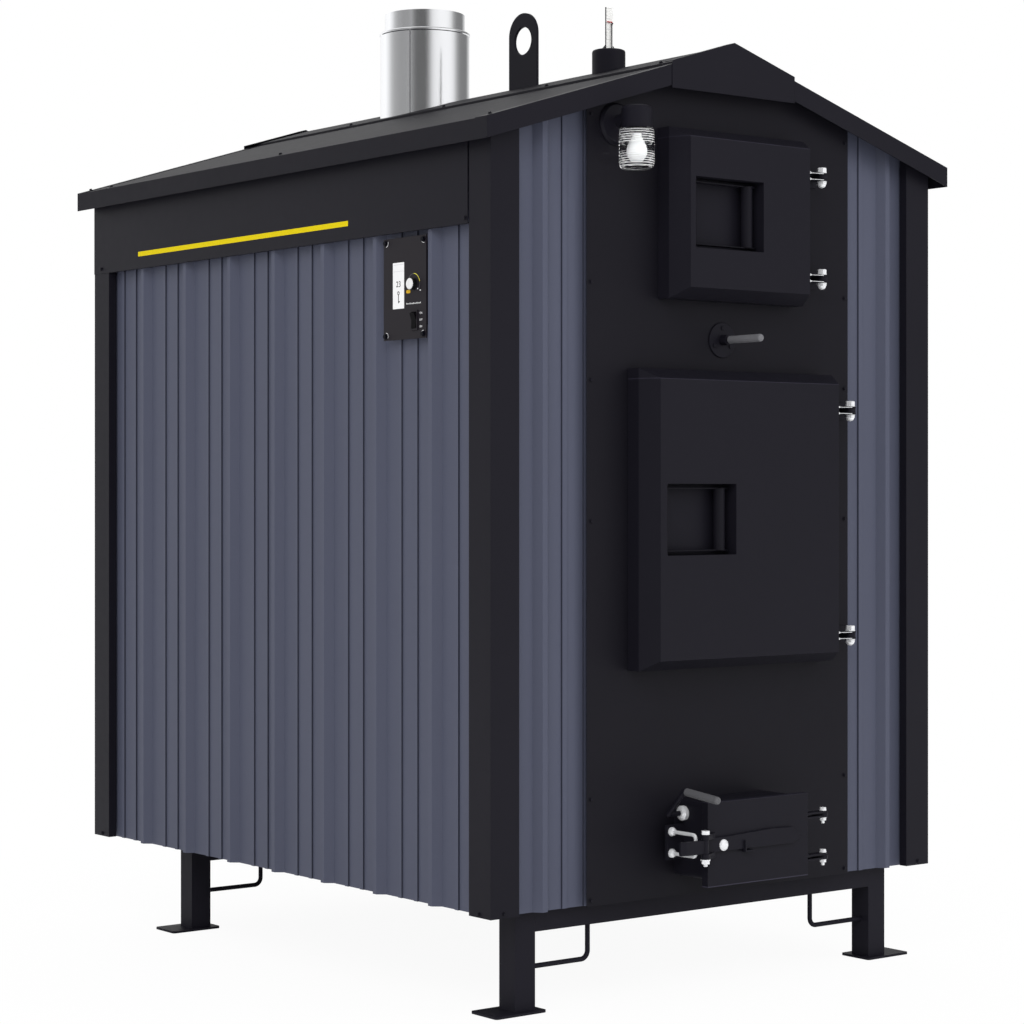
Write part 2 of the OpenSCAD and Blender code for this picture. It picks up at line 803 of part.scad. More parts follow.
blower_r = wheel_r + 8;
volute_growth = 22;
volute_wall = 2;
blower_w = wheel_w + 10;
blower_y = jacket_y1 + 108;
outlet_h = 56;
blower_drop = blower_r + volute_growth - outlet_h / 2;
blower_z = air_z + blower_drop;
shaft_d = 8;
motor_d = 84;
motor_len = 62;

// A spiral that grows from its tongue round to the outlet
function volute(r, a0, a1) = [for (a = [a0:10:a1]) let (k = r + volute_growth * (a - a0) / (a1 - a0))
  [k * cos(a), k * sin(a)]];

// The spiral ends pointing down, where its outlet leads forward to the air tube
module volute_outline(grow) {
  union() {
    polygon(volute(blower_r + grow, -50, 270));
    translate([-outlet_reach - grow, -blower_r - volute_growth - grow])
      square([outlet_reach + grow, outlet_h + 2 * grow]);
  }
}

outlet_reach = blower_y - jacket_y1 - air_tube_reach - volute_wall - gap;

module blower() {
  color("#3c4046") translate([0, blower_y, blower_z]) {
    difference() {
      sheet_yz(-blower_w / 2, blower_w) volute_outline(volute_wall);
      sheet_yz(-blower_w / 2 + volute_wall, blower_w - 2 * volute_wall) volute_outline(0);
      rotate([0, 90, 0]) cylinder(blower_w, d = shaft_d + 4);
      rotate([0, -90, 0]) cylinder(blower_w, r = wheel_r * 0.7);
      translate([0, -outlet_reach - volute_wall - past, -blower_drop]) rotate([-90, 0, 0])
        cylinder(2 * volute_wall + past, d = air_tube_d - 2 * air_tube_wall - 4);
    }
    translate([blower_w / 2, 0, 0]) rotate([0, 90, 0]) difference() {
      cylinder(motor_len, d = motor_d);
      raise(-past) cylinder(motor_len - 10 + past, d = shaft_d + 2 * slip);
    }
  }
}

module blower_wheel() {
  plate = 2;
  blade_depth = 16;
  color("#9a9da1") translate([-wheel_w / 2, blower_y, blower_z]) rotate([0, 90, 0]) {
    // back plate on the motor's side
    raise(wheel_w - plate) cylinder(plate, r = wheel_r);
    raise(wheel_w - 20) cylinder(20, d = 24);
    cylinder(wheel_w + 5 + motor_len - 12, d = shaft_d);
    difference() {
      cylinder(plate, r = wheel_r);
      raise(-past) cylinder(plate + 2 * past, r = wheel_r - blade_depth);
    }
    for (i = [0:blades - 1]) rotate([0, 0, i * 360 / blades])
      translate([wheel_r - blade_depth + 0.5, 0, plate / 2]) rotate([0, 0, 28])
        cube([blade_depth - 3, 1.2, wheel_w - plate]);
  }
}

// ---- casing

// Outline of a ribbed sheet along s, from s0 to s1, with main ribs at a whole number of pitches from c.
// Ribs rise away from zero; the sheet's back is sheet_t behind its face.
function rib(c, top, foot, h) = [[c - foot / 2, 0], [c - top / 2, h], [c + top / 2, h], [c + foot / 2, 0]];

minor_foot = minor_top + 2 * minor_flank;

// Main and minor ribs that fit; the minor ones stand aside by skew
function ribs_between(s0, s1, c, skew) = [
  for (k = [floor((s0 - c) / rib_pitch) : ceil((s1 - c) / rib_pitch)])
    for (r = [[-minor_offset - skew, 0], [0, 1], [minor_offset - skew, 0]])
      let (s = c + k * rib_pitch + r[0], half = (r[1] == 1 ? rib_foot : minor_foot) / 2)
        if (s - half > s0 + 1 && s + half < s1 - 1) [s, r[1]]];

function ribbed_face(s0, s1, c, skew) = concat(
  [[s0, 0]],
  [for (r = ribs_between(s0, s1, c, skew))
    each (r[1] == 1 ? rib(r[0], rib_top, rib_foot, rib_h) : rib(r[0], minor_top, minor_foot, minor_h))],
  [[s1, 0]]);

module ribbed_outline(s0, s1, c, skew) {
  face = ribbed_face(s0, s1, c, skew);
  n = len(face);
  polygon(concat(face, [for (i = [n - 1:-1:0]) [face[i][0], face[i][1] - sheet_t]]));
}

// A ribbed sheet standing in the left wall, its ribs towards -X
module side_sheet(y0, y1, z1, lift, c, skew) {
  translate([-side_pan - lift, 0, skirt_z]) rotate([0, 0, 90]) linear_extrude(height = z1 - skirt_z)
    ribbed_outline(y0, y1, c, skew);
}

minor_skew = 3;
rear_skew = 13;
front_left_skew = 11;
rear_sheet_shift = 10;

module side_siding() {
  reach = end_pan - sheet_t - lap_lift;
  top = under_z(half_w) - 1;
  side_sheet(lap_y + gap, reach, top, 0, side_rib_y - rear_sheet_shift, rear_skew);
  side_sheet(-reach, lap_y, top, lap_lift, side_rib_y, minor_skew);
}

module siding_left() {
  color("#575a68") difference() {
    side_siding();
    control_block(-half_w, -side_pan + past + 5, control_box_w, control_box_h);
  }
}

module siding_right() {
  color("#575a68") mirror([1, 0, 0]) side_siding();
}

// A ribbed sheet standing in the front wall, its ribs towards -Y
module end_sheet(x0, x1, skew) {
  under_roof() translate([0, -end_pan, skirt_z]) mirror([0, 1, 0]) linear_extrude(height = ridge_z - skirt_z)
    ribbed_outline(x0, x1, end_rib_x + rib_pitch / 2, skew);
}

// Half width between the front sheets, which run in under the front panel
front_sheet_x = 300;

module siding_ends() {
  edge = side_pan - sheet_t - lap_lift;
  color("#575a68") {
    end_sheet(-edge, -front_sheet_x, front_left_skew);
    end_sheet(front_sheet_x, edge, minor_skew);
    difference() {
      mirror([0, 1, 0]) end_sheet(-edge, edge, minor_skew);
      span([-compartment_w / 2 + 20, end_pan - 5, rail_z1],
           [compartment_w / 2 - 20, half_d, rail_z1 + compartment_h - 20]);
    }
  }
}

module corner_trims() {
  lip = trim_depth - minor_h - gap - lap_lift;
  t = panel_t;
  color("#1c1c20") under_roof() mirrored_x() for (s = [-1, 1]) scale_y(s)
    raise(skirt_z) linear_extrude(height = ridge_z - skirt_z)
      polygon([[-half_w, -half_d], [-half_w + trim_leg, -half_d], [-half_w + trim_leg, -half_d + lip],
               [-half_w + trim_leg - t, -half_d + lip], [-half_w + trim_leg - t, -half_d + t],
               [-half_w + t, -half_d + t], [-half_w + t, -half_d + trim_leg - t],
               [-half_w + lip, -half_d + trim_leg - t], [-half_w + lip, -half_d + trim_leg],
               [-half_w, -half_d + trim_leg]]);
}

module scale_y(s) {
  if (s > 0) children();
  else mirror([0, 1, 0]) children();
}

module front_panel() {
  x = front_panel_half_w;
  y1 = wall_y + panel_t + past;
  color("#1f1f23") difference() {
    under_roof() span([-x, wall_y, skirt_z], [x, wall_y + panel_t, ridge_z]);
    mouths(wall_y - past, y1);
    block_y(wall_y - past, y1, neck_x, neck_z, neck_w - 2 * neck_wall, neck_h - 2 * neck_wall);
    rod_y(damper_x, wall_y - past, y1, damper_z, sleeve_d - 8);
  }
}

module rear_panel() {
  x = compartment_w / 2 + 10;
  z0 = rail_z1 - 10;
  z1 = rail_z1 + compartment_h + 10;
  y = end_pan + rib_h;
  color("#1f1f23") difference() {
    span([-x, y, z0], [x, y + panel_t, z1]);
    for (s = [-1, 1]) rod_y(s * port_x, y - past, y + panel_t + past, port_z, port_bore_d + 16 + 2 * weld_gap);
    // air louvres
    for (i = [0:7]) translate([-100, y - past, blower_z + 140 + i * 22]) cube([200, panel_t + 2 * past, 8]);
  }
}

// A bare board on the left side, under the eave
module sign_board() {
  y1 = half_d;
  y0 = y1 - sign_len;
  z0 = eave_z - sign_drop;
  z1 = under_z(half_w) - 2;
  lip_x = -side_pan - lap_lift - rib_h - gap;
  color("#1f1f23") {
    span([-half_w - panel_t, y0, z0], [-half_w, y1, z1]);
    span([-half_w - panel_t / 2, -half_d + trim_leg + gap, z0], [lip_x, half_d - trim_leg - gap, z0 + panel_t]);
  }
}

screw_d = 11;

module screw() {
  cylinder(1.2, d = screw_d);
  raise(1.2) hex(7, 3.5);
}

// Screws of the casing and the roof
module sheet_screws() {
  panel_rows = [14, 253, 911, 1245, 1477, 1874];
  rim = 12;
  roof_rows = [-0.927, -0.448, 0.032, 0.512];
  color("#2a2a2e") {
    for (x = [-1, 1], z = panel_rows)
      translate([x * (front_panel_half_w - rim), wall_y, skirt_z + z]) rotate([90, 0, 0]) screw();
    mirrored_x() for (y = [-1, 1]) {
      translate([-half_w, y * (half_d - 45), skirt_z + 8]) rotate([0, -90, 0]) screw();
      translate([-half_w + 39, y * half_d, skirt_z + 10]) rotate([90 * -y, 0, 0]) screw();
    }
    for (y = [half_d - 42, half_d - sign_len + 9])
      translate([-half_w - panel_t, y, eave_z - sign_drop + 13]) rotate([0, -90, 0]) screw();
    for (y = [-1, 1], z = [-1, 1])
      translate([control_x - plate_t, -control_y + y * (control_w / 2 - 10), control_z + z * (control_h / 2 - 10)])
        rotate([0, -90, 0]) screw();
    for (y = [-1, 1], x = [-1, 1])
      translate([x * (compartment_w / 2 - 2), end_pan + rib_h + panel_t, rail_z1 + (y > 0 ? compartment_h : 30)])
        rotate([-90, 0, 0]) screw();
    mirrored_x() {
      for (y = roof_rows) on_slope(ridge_wing - 20, ridge_cap_top) translate([0, y * half_d, 0]) screw();
      for (y = [-60, half_d - 112]) on_slope(roof_half_w - 29, 0) translate([0, y, 0]) screw();
      for (y = [-half_d - 8, half_d + 8])
        on_slope(roof_half_w - 29, rake_t / cos(roof_angle)) translate([0, y, 0]) screw();
    }
  }
}

// ---- roof

rake_t = 1.5;
rake_flange = 45;
ridge_cap_top = ridge_hem + roof_t;
seat = 0.1;        // under a flange that lies on the sloping roof

// Puts what follows on the left slope, x from the ridge, raised by up
module on_slope(x, up) {
  translate([-x, 0, roof_z(x) + up]) rotate([0, -roof_angle, 0]) children();
}

// Where the chimney, the lug and the gauge's pipe come through
module roof_holes() {
  chimney_hole(chimney_d + 2 * weld_gap);
  lug_slot(weld_gap);
  translate([0, -gauge_y, jacket_z1]) cylinder(600, d = gauge_pipe_d + 2 * weld_gap);
}

module roof_slope() {
  w = roof_half_w;
  y = roof_half_d - rake_t;
  difference() {
    sheet_xz(y, 2 * y) polygon([
      [0, ridge_z], [-w, eave_z], [-w, eave_z - fascia_h], [-w + roof_t, eave_z - fascia_h],
      [-w + roof_t, roof_z(w - roof_t) - roof_drop], [0, ridge_z - roof_drop]]);
    roof_holes();
  }
}

module roof_left() { color("#232327") roof_slope(); }

module roof_right() { color("#232327") mirror([1, 0, 0]) roof_slope(); }

module ridge_cap() {
  x = ridge_wing;
  t = roof_t;
  y = roof_half_d - rake_t - gap;
  color("#232327") difference() {
    sheet_xz(y, 2 * y) polygon([
      [0, ridge_z + ridge_cap_top], [-x, roof_z(x) + ridge_cap_top], [-x, roof_z(x) + seat],
      [-x + t, roof_z(x - t) + seat], [-x + t, roof_z(x - t) + ridge_hem], [0, ridge_z + ridge_hem],
      [x - t, roof_z(x - t) + ridge_hem], [x - t, roof_z(x - t) + seat], [x, roof_z(x) + seat],
      [x, roof_z(x) + ridge_cap_top]]);
    roof_holes();
  }
}

// Angle along each sloping end of the roof: a face in front and a flange on top
module rake_trims() {
  w = roof_half_w;
  cap = rake_t / cos(roof_angle);
  inner = ridge_wing + 2;
  color("#1c1c20") for (s = [-1, 1]) scale_y(s) mirrored_x() {
    sheet_xz(-roof_half_d + rake_t, rake_t)
      polygon([[-gap, ridge_z], [-w, eave_z + cap], [-w, eave_z - fascia_h], [-gap, ridge_z - fascia_h]]);
    sheet_xz(-roof_half_d + rake_flange, rake_flange)
      polygon([[-inner, roof_z(inner) + cap], [-w, eave_z + cap], [-w, eave_z + seat], [-inner, roof_z(inner) + seat]]);
  }
}

module peak_plates() {
  x = peak_half_w;
  up = peak_proud;
  t = panel_t;
  back = 26;
  color("#1c1c20") for (s = [-1, 1]) scale_y(s) {
    sheet_xz(-roof_half_d, t)
      polygon([[-x, ridge_z - peak_drop], [x, ridge_z - peak_drop], [x, roof_z(x) + up], [0, ridge_z + up],
               [-x, roof_z(x) + up]]);
    sheet_xz(-roof_half_d + back, back + t / 2)
      polygon([[-x, roof_z(x) + up], [-x, roof_z(x) + up - t], [0, ridge_z + up - t], [x, roof_z(x) + up - t],
               [x, roof_z(x) + up], [0, ridge_z + up]]);
  }
}

// ---- ridge fittings

module lifting_lug() {
  r = lug_w / 2;
  top = ridge_z + lug_rise;
  color("#1c1c20") translate([-lug_t / 2, -lug_y, 0]) rotate([90, 0, 90]) difference() {
    union() {
      translate([-r, jacket_z1]) linear_extrude(height = lug_t) square([lug_w, top - r - jacket_z1]);
      translate([0, top - r, 0]) cylinder(lug_t, r = r);
    }
    translate([0, top - lug_hole_drop, 0]) hole(lug_t, lug_hole_d);
  }
}

chimney_top = ridge_z + chimney_rise;
chimney_wall = 2;

module chimney_pipe() {
  r = chimney_d / 2;
  bead = 2;
  color("#b9bcc0") translate([0, chimney_y, 0]) rotate_extrude($fn = 128) polygon([
    [r - chimney_wall, jacket_z1], [r, jacket_z1], [r, chimney_top - 9], [r + bead, chimney_top - 7],
    [r + bead, chimney_top - 2], [r, chimney_top], [collar_d / 2 + weld_gap, chimney_top],
    [collar_d / 2 + weld_gap, chimney_top - chimney_wall], [r - chimney_wall, chimney_top - chimney_wall]]);
}

// The flue liner and, above the casing, the collar that the next length of chimney goes over
module chimney_collar() {
  r = collar_d / 2;
  bore = flue_bore_d / 2;
  color("#c3c6ca") translate([0, chimney_y, 0]) rotate_extrude($fn = 128) polygon([
    [bore, upper_z + smoke_h / 2], [r - 3, upper_z + smoke_h / 2], [r - 3, chimney_top], [r, chimney_top],
    [r, chimney_top + collar_rise], [bore, chimney_top + collar_rise]]);
}

gauge_top = ridge_z + gauge_rise;
wire_x = 6;
wire_y = -gauge_y - 5;

module gauge_cap() {
  r = gauge_d / 2;
  bore = gauge_pipe_bore / 2;
  foot = ridge_z + ridge_cap_top + seat;
  low = foot - slope * gauge_d;
  color("#1a1a1d") translate([0, -gauge_y, 0]) difference() {
    union() {
      turned([
        [bore, jacket_z1], [gauge_pipe_d / 2, jacket_z1], [gauge_pipe_d / 2, foot + past], [bore, foot + past]]);
      // cap, cut to the slopes it sits on
      difference() {
        turned([
          [bore, low], [r, low], [r, gauge_top - 6], [r - 1.8, gauge_top - 1.8], [r - 6, gauge_top],
          [0, gauge_top], [0, gauge_top - 6], [bore, gauge_top - 6]]);
        sheet_xz(gauge_d, 2 * gauge_d)
          polygon([[0, foot], [-gauge_d, low], [-gauge_d, low - past], [gauge_d, low - past], [gauge_d, low]]);
      }
    }
    translate([wire_x, wire_y + gauge_y, gauge_top - 6]) hole(6, wire_d + 1);
  }
}

module gauge_scale() {
  w = scale_w / 2;
  t = 2;
  gusset = 13;
  color("#e8e8e6") translate([0, -gauge_y, gauge_top]) {
    translate([-w, -t, 0]) cube([scale_w, t, scale_h]);
    mirrored_x() sheet_xz(0, t) polygon([[w - 0.5, 0], [w + gusset, 0], [w - 0.5, gusset + 1]]);
  }
}

// Float, its wire through the cap, and the bent pointer at the top
module gauge_float() {
  top = gauge_top + 66;
  float_z = jacket_z1 - 33;
  kink = 8;
  tip_z = top + 7;
  color("#c8c8c4") translate([wire_x, wire_y, 0]) {
    raise(float_z) cylinder(top - float_z, d = wire_d);
    translate([-wire_x, -wire_y - gauge_y, float_z - 20]) cylinder(24, d = gauge_pipe_bore - 10);
    for (p = [[0, top], [3, top + kink / 2], [0, tip_z]]) translate([p[0], 0, p[1]]) sphere(d = wire_d + 1);
    bar([0, 0, top], [3, 0, top + kink / 2], wire_d);
    bar([3, 0, top + kink / 2], [0, 0, tip_z], wire_d);
    bar([0, 0, tip_z], [-15, 0, tip_z], wire_d);
  }
}

// ---- light

light_z = eave_z + light_rise;
cap_foot = light_z - 19.5;
cap_top = cap_foot + 54;

module lamp_fixture() {
  r = lamp_cap_d / 2;
  color("#1b1b1e") translate([-light_x, wall_y, 0]) {
    raise(light_z) rotate([90, 0, 0]) rotate_extrude()
      polygon([[0, 0], [canopy_d / 2, 0], [canopy_d / 2, 5], [canopy_d / 2 - 5, 12], [17, 16], [0, 16]]);
    bar([0, -10, light_z + 4], [0, -light_stand + 20, light_z + 14], 30);
    translate([0, -light_stand, 0]) difference() {
      turned([[0, cap_foot], [r, cap_foot], [r, cap_top - 9], [r - 3, cap_top - 3],
                                [r - 9, cap_top], [0, cap_top]]);
      raise(cap_foot - past) cylinder(5 + past, d = jar_neck_d + 2 * weld_gap);
      raise(cap_foot) cylinder(20, d = socket_d + 2 * weld_gap);
    }
  }
}

jar_neck_d = 62;
socket_d = 27;
jar_rib_h = 1.2;

// A jar with rings round it, screwed up into the cap
module lamp_glass() {
  r = jar_d / 2;
  wall = 3;
  rings = 9;
  foot = cap_foot - jar_h;
  ring_pitch = (jar_h - 22) / rings;
  outside = [for (i = [0:rings - 1], p = [[0, -jar_rib_h], [ring_pitch / 2, 0]])
    [r + p[1], foot + 12 + i * ring_pitch + p[0]]];
  color("#dfe6ea") translate([-light_x, wall_y - light_stand, 0]) turned(concat(
    [[0, foot], [r - 9, foot], [r - 3, foot + 4], [r - jar_rib_h, foot + 9]],
    outside,
    [[r - jar_rib_h, cap_foot - 9], [r - 2, cap_foot - gap], [jar_neck_d / 2, cap_foot - gap],
     [jar_neck_d / 2, cap_foot + 4], [jar_neck_d / 2 - wall, cap_foot + 4], [jar_neck_d / 2 - wall, cap_foot - 6],
     [r - wall - 2, cap_foot - 14], [r - wall - 2, foot + 12], [r - wall - 7, foot + 4], [0, foot + 4]]));
}

module lamp_bulb() {
  r = bulb_d / 2;
  bulb_z = cap_foot - 55;
  color("#f4f4f0") translate([-light_x, wall_y - light_stand, 0]) turned(concat(
    [for (a = [-90:10:50]) [r * cos(a), bulb_z + r * sin(a)]],
    [[socket_d / 2, bulb_z + r + 12], [socket_d / 2, cap_foot + 18], [0, cap_foot + 18]]));
}

// ---- side control

control_z = eave_z - control_below_eave;
control_x = -side_pan - lap_lift - rib_h;
plate_t = 3;
control_box_w = 130;
control_box_h = 180;
control_box_d = 60;
knob_y = -control_y - 36.5;
knob_z = control_z + 8;
rocker_y = -control_y - 41;
rocker_z = control_z - 78.5;
rocker_w = 19;
window_y0 = -control_y + 2.5;
window_y1 = -control_y + 49;
window_z = control_z + 7.5;
window_h = 111;
knob_pin_d = 8;

// A block from x0 to x1 about the middle of the control plate
module control_block(x0, x1, w, h) { block_x(x0, x1, -control_y, control_z, w, h); }

module rocker_block(x0, x1, rim) { block_x(x0, x1, rocker_y, rocker_z, rocker_w + 2 * rim, rocker_h + 2 * rim); }

module window_block(x0, x1) { span([x0, window_y0, window_z - window_h / 2], [x1, window_y1, window_z + window_h / 2]); }

module control_plate() {
  x = control_x;
  face = x - plate_t;
  bezel = 3;
  rim = 4;
  wall = 2;
  back = x + control_box_d - 5;
  w = control_box_w - 2 * gap;
  h = control_box_h - 2 * gap;
  color("#202024") difference() {
    union() {
      control_block(face, x, control_w, control_h);
      difference() {
        control_block(x - past / 2, back, w, h);
        control_block(x, back - wall, w - 2 * wall, h - 2 * wall);
      }
      rocker_block(face - bezel, face + past / 2, rim);
    }
    rod_x(face - past, x + past, knob_y, knob_z, knob_pin_d + 2 * slip);
    rocker_block(face - bezel - past, x + past, 0);
    window_block(face - past, x + past);
  }
}

module display_window() { color("#ececec") window_block(control_x - plate_t, control_x - past); }

module control_knob() {
  h = 14;
  color("#f1f1ee") translate([control_x - plate_t - gap, knob_y, knob_z]) rotate([0, -90, 0]) {
    difference() {
      turned([[0, 0], [knob_d / 2, 0], [knob_d / 2 - 0.5, h - 2], [knob_d / 2 - 2.5, h], [0, h]]);
      for (i = [0:17]) rotate([0, 0, i * 20]) translate([knob_d / 2, 0, 3]) cylinder(h, d = 2, $fn = 16);
    }
    raise(-plate_t - 8) cylinder(plate_t + 9, d = knob_pin_d);
  }
}

rocker_rest = 8;

module rocker_switch() {
  half = rocker_h / 2 - 1;
  color("#0e0e10") translate([control_x - plate_t, rocker_y + rocker_w / 2 - gap, rocker_z]) rotate([90, 0, 0])
    linear_extrude(height = rocker_w - 2 * gap) rotate(rocker_rest) union() {
      circle(d = 6);
      polygon([[1, -half + 5], [-2, -half], [-7, -half + 1], [-3.5, 0], [-7, half - 1], [-2, half], [1, half - 5]]);
    }
}

// ---- doors

// A block with a bevelled front towards -Y and its back at y = 0
module bevelled_block(w, h, depth, straight, bevel) {
  intersection() {
    raise(-h / 2) linear_extrude(height = h)
      polygon([[-w / 2, 0], [w / 2, 0], [w / 2, -straight], [w / 2 - bevel, -depth], [-w / 2 + bevel, -depth],
               [-w / 2, -straight]]);
    sheet_yz(-w / 2, w)
      polygon([[0, -h / 2], [0, h / 2], [-straight, h / 2], [-depth, h / 2 - bevel], [-depth, -h / 2 + bevel],
               [-straight, -h / 2]]);
  }
}

// Skin of a door about its middle, its back at the front panel; pocket_x is to the left of the middle
module door_skin(w, h, pocket_x, hinge_zs) {
  t = door_skin_t;
  pocket_wall = 2;
  axis = [w / 2 + hinge_reach, -hinge_stand];
  translate([0, -casing_back, 0]) difference() {
    union() {
      difference() {
        bevelled_block(w, h, door_depth, door_straight, door_bevel);
        translate([0, past, 0]) bevelled_block(w - 2 * t, h - 2 * t, door_depth - t + past, door_straight + past, door_bevel);
      }
      translate([-pocket_x - pocket_w / 2 - pocket_wall, -door_depth + t / 2, -pocket_h / 2 - pocket_wall])
        cube([pocket_w + 2 * pocket_wall, pocket_depth + pocket_wall - t / 2, pocket_h + 2 * pocket_wall]);
    }
    translate([-pocket_x - pocket_w / 2, -door_depth - past, -pocket_h / 2])
      cube([pocket_w, pocket_depth + past, pocket_h]);
    translate([-pocket_x - pocket_w / 2 + pivot_inset, -door_depth + pivot_depth, -pocket_h / 2 - 10])
      cylinder(pocket_h + 20, d = handle_pin_d + 2 * slip);
  }
  for (z = hinge_zs, s = [-1, 1])
    raise(z + s * (ear_lift + ear_t / 2) - ear_t / 2) difference() {
      linear_extrude(height = ear_t) union() {
        translate(axis) circle(ear_r);
        polygon([[w / 2 - 0.5, axis[1] + ear_r + 3], [w / 2 + 14, axis[1] + ear_r], [axis[0], axis[1] + ear_r],
                 [axis[0], axis[1] - ear_r], [w / 2 + 14, axis[1] - 8], [w / 2 - 0.5, axis[1] + 6]]);
      }
      translate(axis) hole(ear_t, hinge_bolt_d + 2 * slip);
    }
}

// Inner pan of a door, which carries the gasket
module door_liner(w, h) {
  sheet_xz(liner_y - wall_y, liner_t) square([w - 2 * door_skin_t, h - 2 * door_skin_t], center = true);
}

// Rope gasket that meets the frame's edge
module door_gasket(frame_w, frame_h) {
  w = frame_w - frame_wall + gasket_size;
  h = frame_h - frame_wall + gasket_size;
  sheet_xz(liner_y - wall_y + gasket_size, gasket_size) difference() {
    square([w, h], center = true);
    square([w - 2 * gasket_size, h - 2 * gasket_size], center = true);
  }
}

// Handle in its pocket: two arms on a pivot pin with a curved grip between them
module door_handle(pocket_x) {
  px = -pocket_x - pocket_w / 2 + pivot_inset;
  py = -casing_back - door_depth + pivot_depth;
  reach = handle_span;
  grip_x = reach - 10 - grip_r;
  back = 14;
  translate([px, py, 0]) {
    for (s = [-1, 1]) raise(s * arm_rise - handle_t / 2) linear_extrude(height = handle_t) union() {
      circle(12);
      polygon([[0, 12], [reach, back], [reach, -back / 2], [grip_x + 4, -grip_r], [grip_x - grip_r, -6], [0, -12]]);
    }
    raise(-pocket_h / 2 - 1.5) cylinder(pocket_h + 3, d = handle_pin_d);
    translate([grip_x, 0, -arm_rise]) intersection() {
      difference() {
        cylinder(2 * arm_rise, r = grip_r);
        hole(2 * arm_rise, 2 * (grip_r - handle_t));
      }
      translate([-grip_r - past, -grip_r - past, -past]) cube([grip_w + 2 * past, grip_r + past + 2, 2 * arm_rise + 2 * past]);
    }
  }
}

upper_hinges = [upper_h / 2 - upper_hinge_top, -upper_h / 2 + upper_hinge_foot];
lower_hinges = [lower_h / 2 - lower_hinge_top, -lower_h / 2 + lower_hinge_foot];

module at_upper() { translate([upper_x, wall_y, upper_z]) children(); }
module at_lower() { translate([lower_x, wall_y, lower_z]) children(); }

module upper_door_skin() { color("#1e1e22") at_upper() door_skin(upper_w, upper_h, upper_pocket_x, upper_hinges); }
module upper_door_liner() { color("#55575b") at_upper() door_liner(upper_w, upper_h); }
module upper_door_gasket() { color("#8e8a80") at_upper() door_gasket(smoke_w, smoke_h); }
module upper_door_handle() { color("#17171a") at_upper() door_handle(upper_pocket_x); }
module lower_door_skin() { color("#1e1e22") at_lower() door_skin(lower_w, lower_h, lower_pocket_x, lower_hinges); }
module lower_door_liner() { color("#55575b") at_lower() door_liner(lower_w, lower_h); }
module lower_door_gasket() { color("#8e8a80") at_lower() door_gasket(mouth_w, mouth_h); }
module lower_door_handle() { color("#17171a") at_lower() door_handle(lower_pocket_x); }

// Where the four hinge bolts stand: their x and z
door_axes = [
  for (z = upper_hinges) [upper_x + upper_w / 2 + hinge_reach, upper_z + z],
  for (z = lower_hinges) [lower_x + lower_w / 2 + hinge_reach, lower_z + z]];

module hinge_brackets() {
  r = 14;
  foot = 20;
  color("#1a1a1e") for (a = door_axes) translate([a[0], wall_y, a[1] - bracket_t / 2]) difference() {
    union() {
      linear_extrude(height = bracket_t) union() {
        translate([0, -hinge_stand]) circle(r);
        polygon([[-foot, 0], [-r, -hinge_stand], [r, -hinge_stand], [foot, 0]]);
      }
      translate([-foot - 4, -4, bracket_t / 2 - 22]) cube([2 * foot + 8, 4, 44]);
    }
    translate([0, -hinge_stand]) hole(bracket_t, hinge_bolt_d + 2 * slip);
  }
}

// A bolt down through the hinge: hexagon head, washers and a domed nut
module hinge_bolt(d, stack, af, head_h, nut_h) {
  washer = 2;
  half = stack / 2;
  nut_z = -half - washer - nut_h / 2;
  raise(-half - washer - nut_h + 2) cylinder(stack + washer + nut_h - 2, d = d);
  raise(half) cylinder(washer, d = af * 1.18);
  raise(half + washer - 0.5) hex(af, head_h + 0.5);
  raise(-half - washer) cylinder(washer, d = af * 1.18);
  raise(nut_z) hex(af, nut_h / 2 + 0.5);
  raise(nut_z) intersection() {
    sphere(d = af * 0.98);
    translate([-af, -af, -nut_h / 2 - 2]) cube([2 * af, 2 * af, nut_h / 2 + 4]);
  }
}

module hinge_bolts() {
  stack = bracket_t + 2 * ear_t + 4 * gap;
  ash_stack = ear_thin * 3 + 4 * gap;
  color("#d5d7da") {
    for (a = door_axes) translate([a[0], wall_y - hinge_stand, a[1]]) hinge_bolt(hinge_bolt_d, stack, 25, 12, 13);
    for (z = ash_hinges) translate([ash_hinge_x, ash_hinge_y, neck_z + z]) {
      raise(-ash_stack / 2 - 16) cylinder(ash_stack + 16, d = ash_bolt_d);
      raise(ash_stack / 2) hex(18, 8);
      raise(-ash_stack / 2 - 8) hex(18, 8);
    }
  }
}

// ---- damper control

hub_len = 22;
rod_front = wall_y - 4 - hub_len - 2;
damper_plate_t = 6;

module damper_escutcheon() {
  t = 4;
  color("#1a1a1e") translate([damper_x, wall_y, damper_z]) rotate([90, 0, 0]) difference() {
    union() {
      turned([[0, 0], [escutcheon_d / 2, 0], [escutcheon_d / 2, t - 1], [escutcheon_d / 2 - 1, t], [0, t]]);
      cylinder(t + hub_len, d = damper_rod_d + 14);
      for (a = [90, 207, 330]) rotate([0, 0, a]) translate([30, 0, t - 0.5]) cylinder(3, d = 11);
    }
    hole(t + hub_len, damper_rod_d + 2 * slip);
  }
}

// Pull rod with the damper plate that slides on the crown plate
module damper_rod() {
  y_in = bypass_y0 - 10;
  over = 12;
  z0 = crown_z + firebox_wall + gap;
  color("#2c2c30") {
    rod_y(damper_x, rod_front - 10, y_in + 8, damper_z, damper_rod_d);
    span([bypass_x0 - over, bypass_y0 - over, z0], [bypass_x1 + over, bypass_y1 + over, z0 + damper_plate_t]);
    span([damper_x - 12, bypass_y0 - over, z0 + damper_plate_t - past / 2], [damper_x + 12, bypass_y0, damper_z + 12]);
  }
}

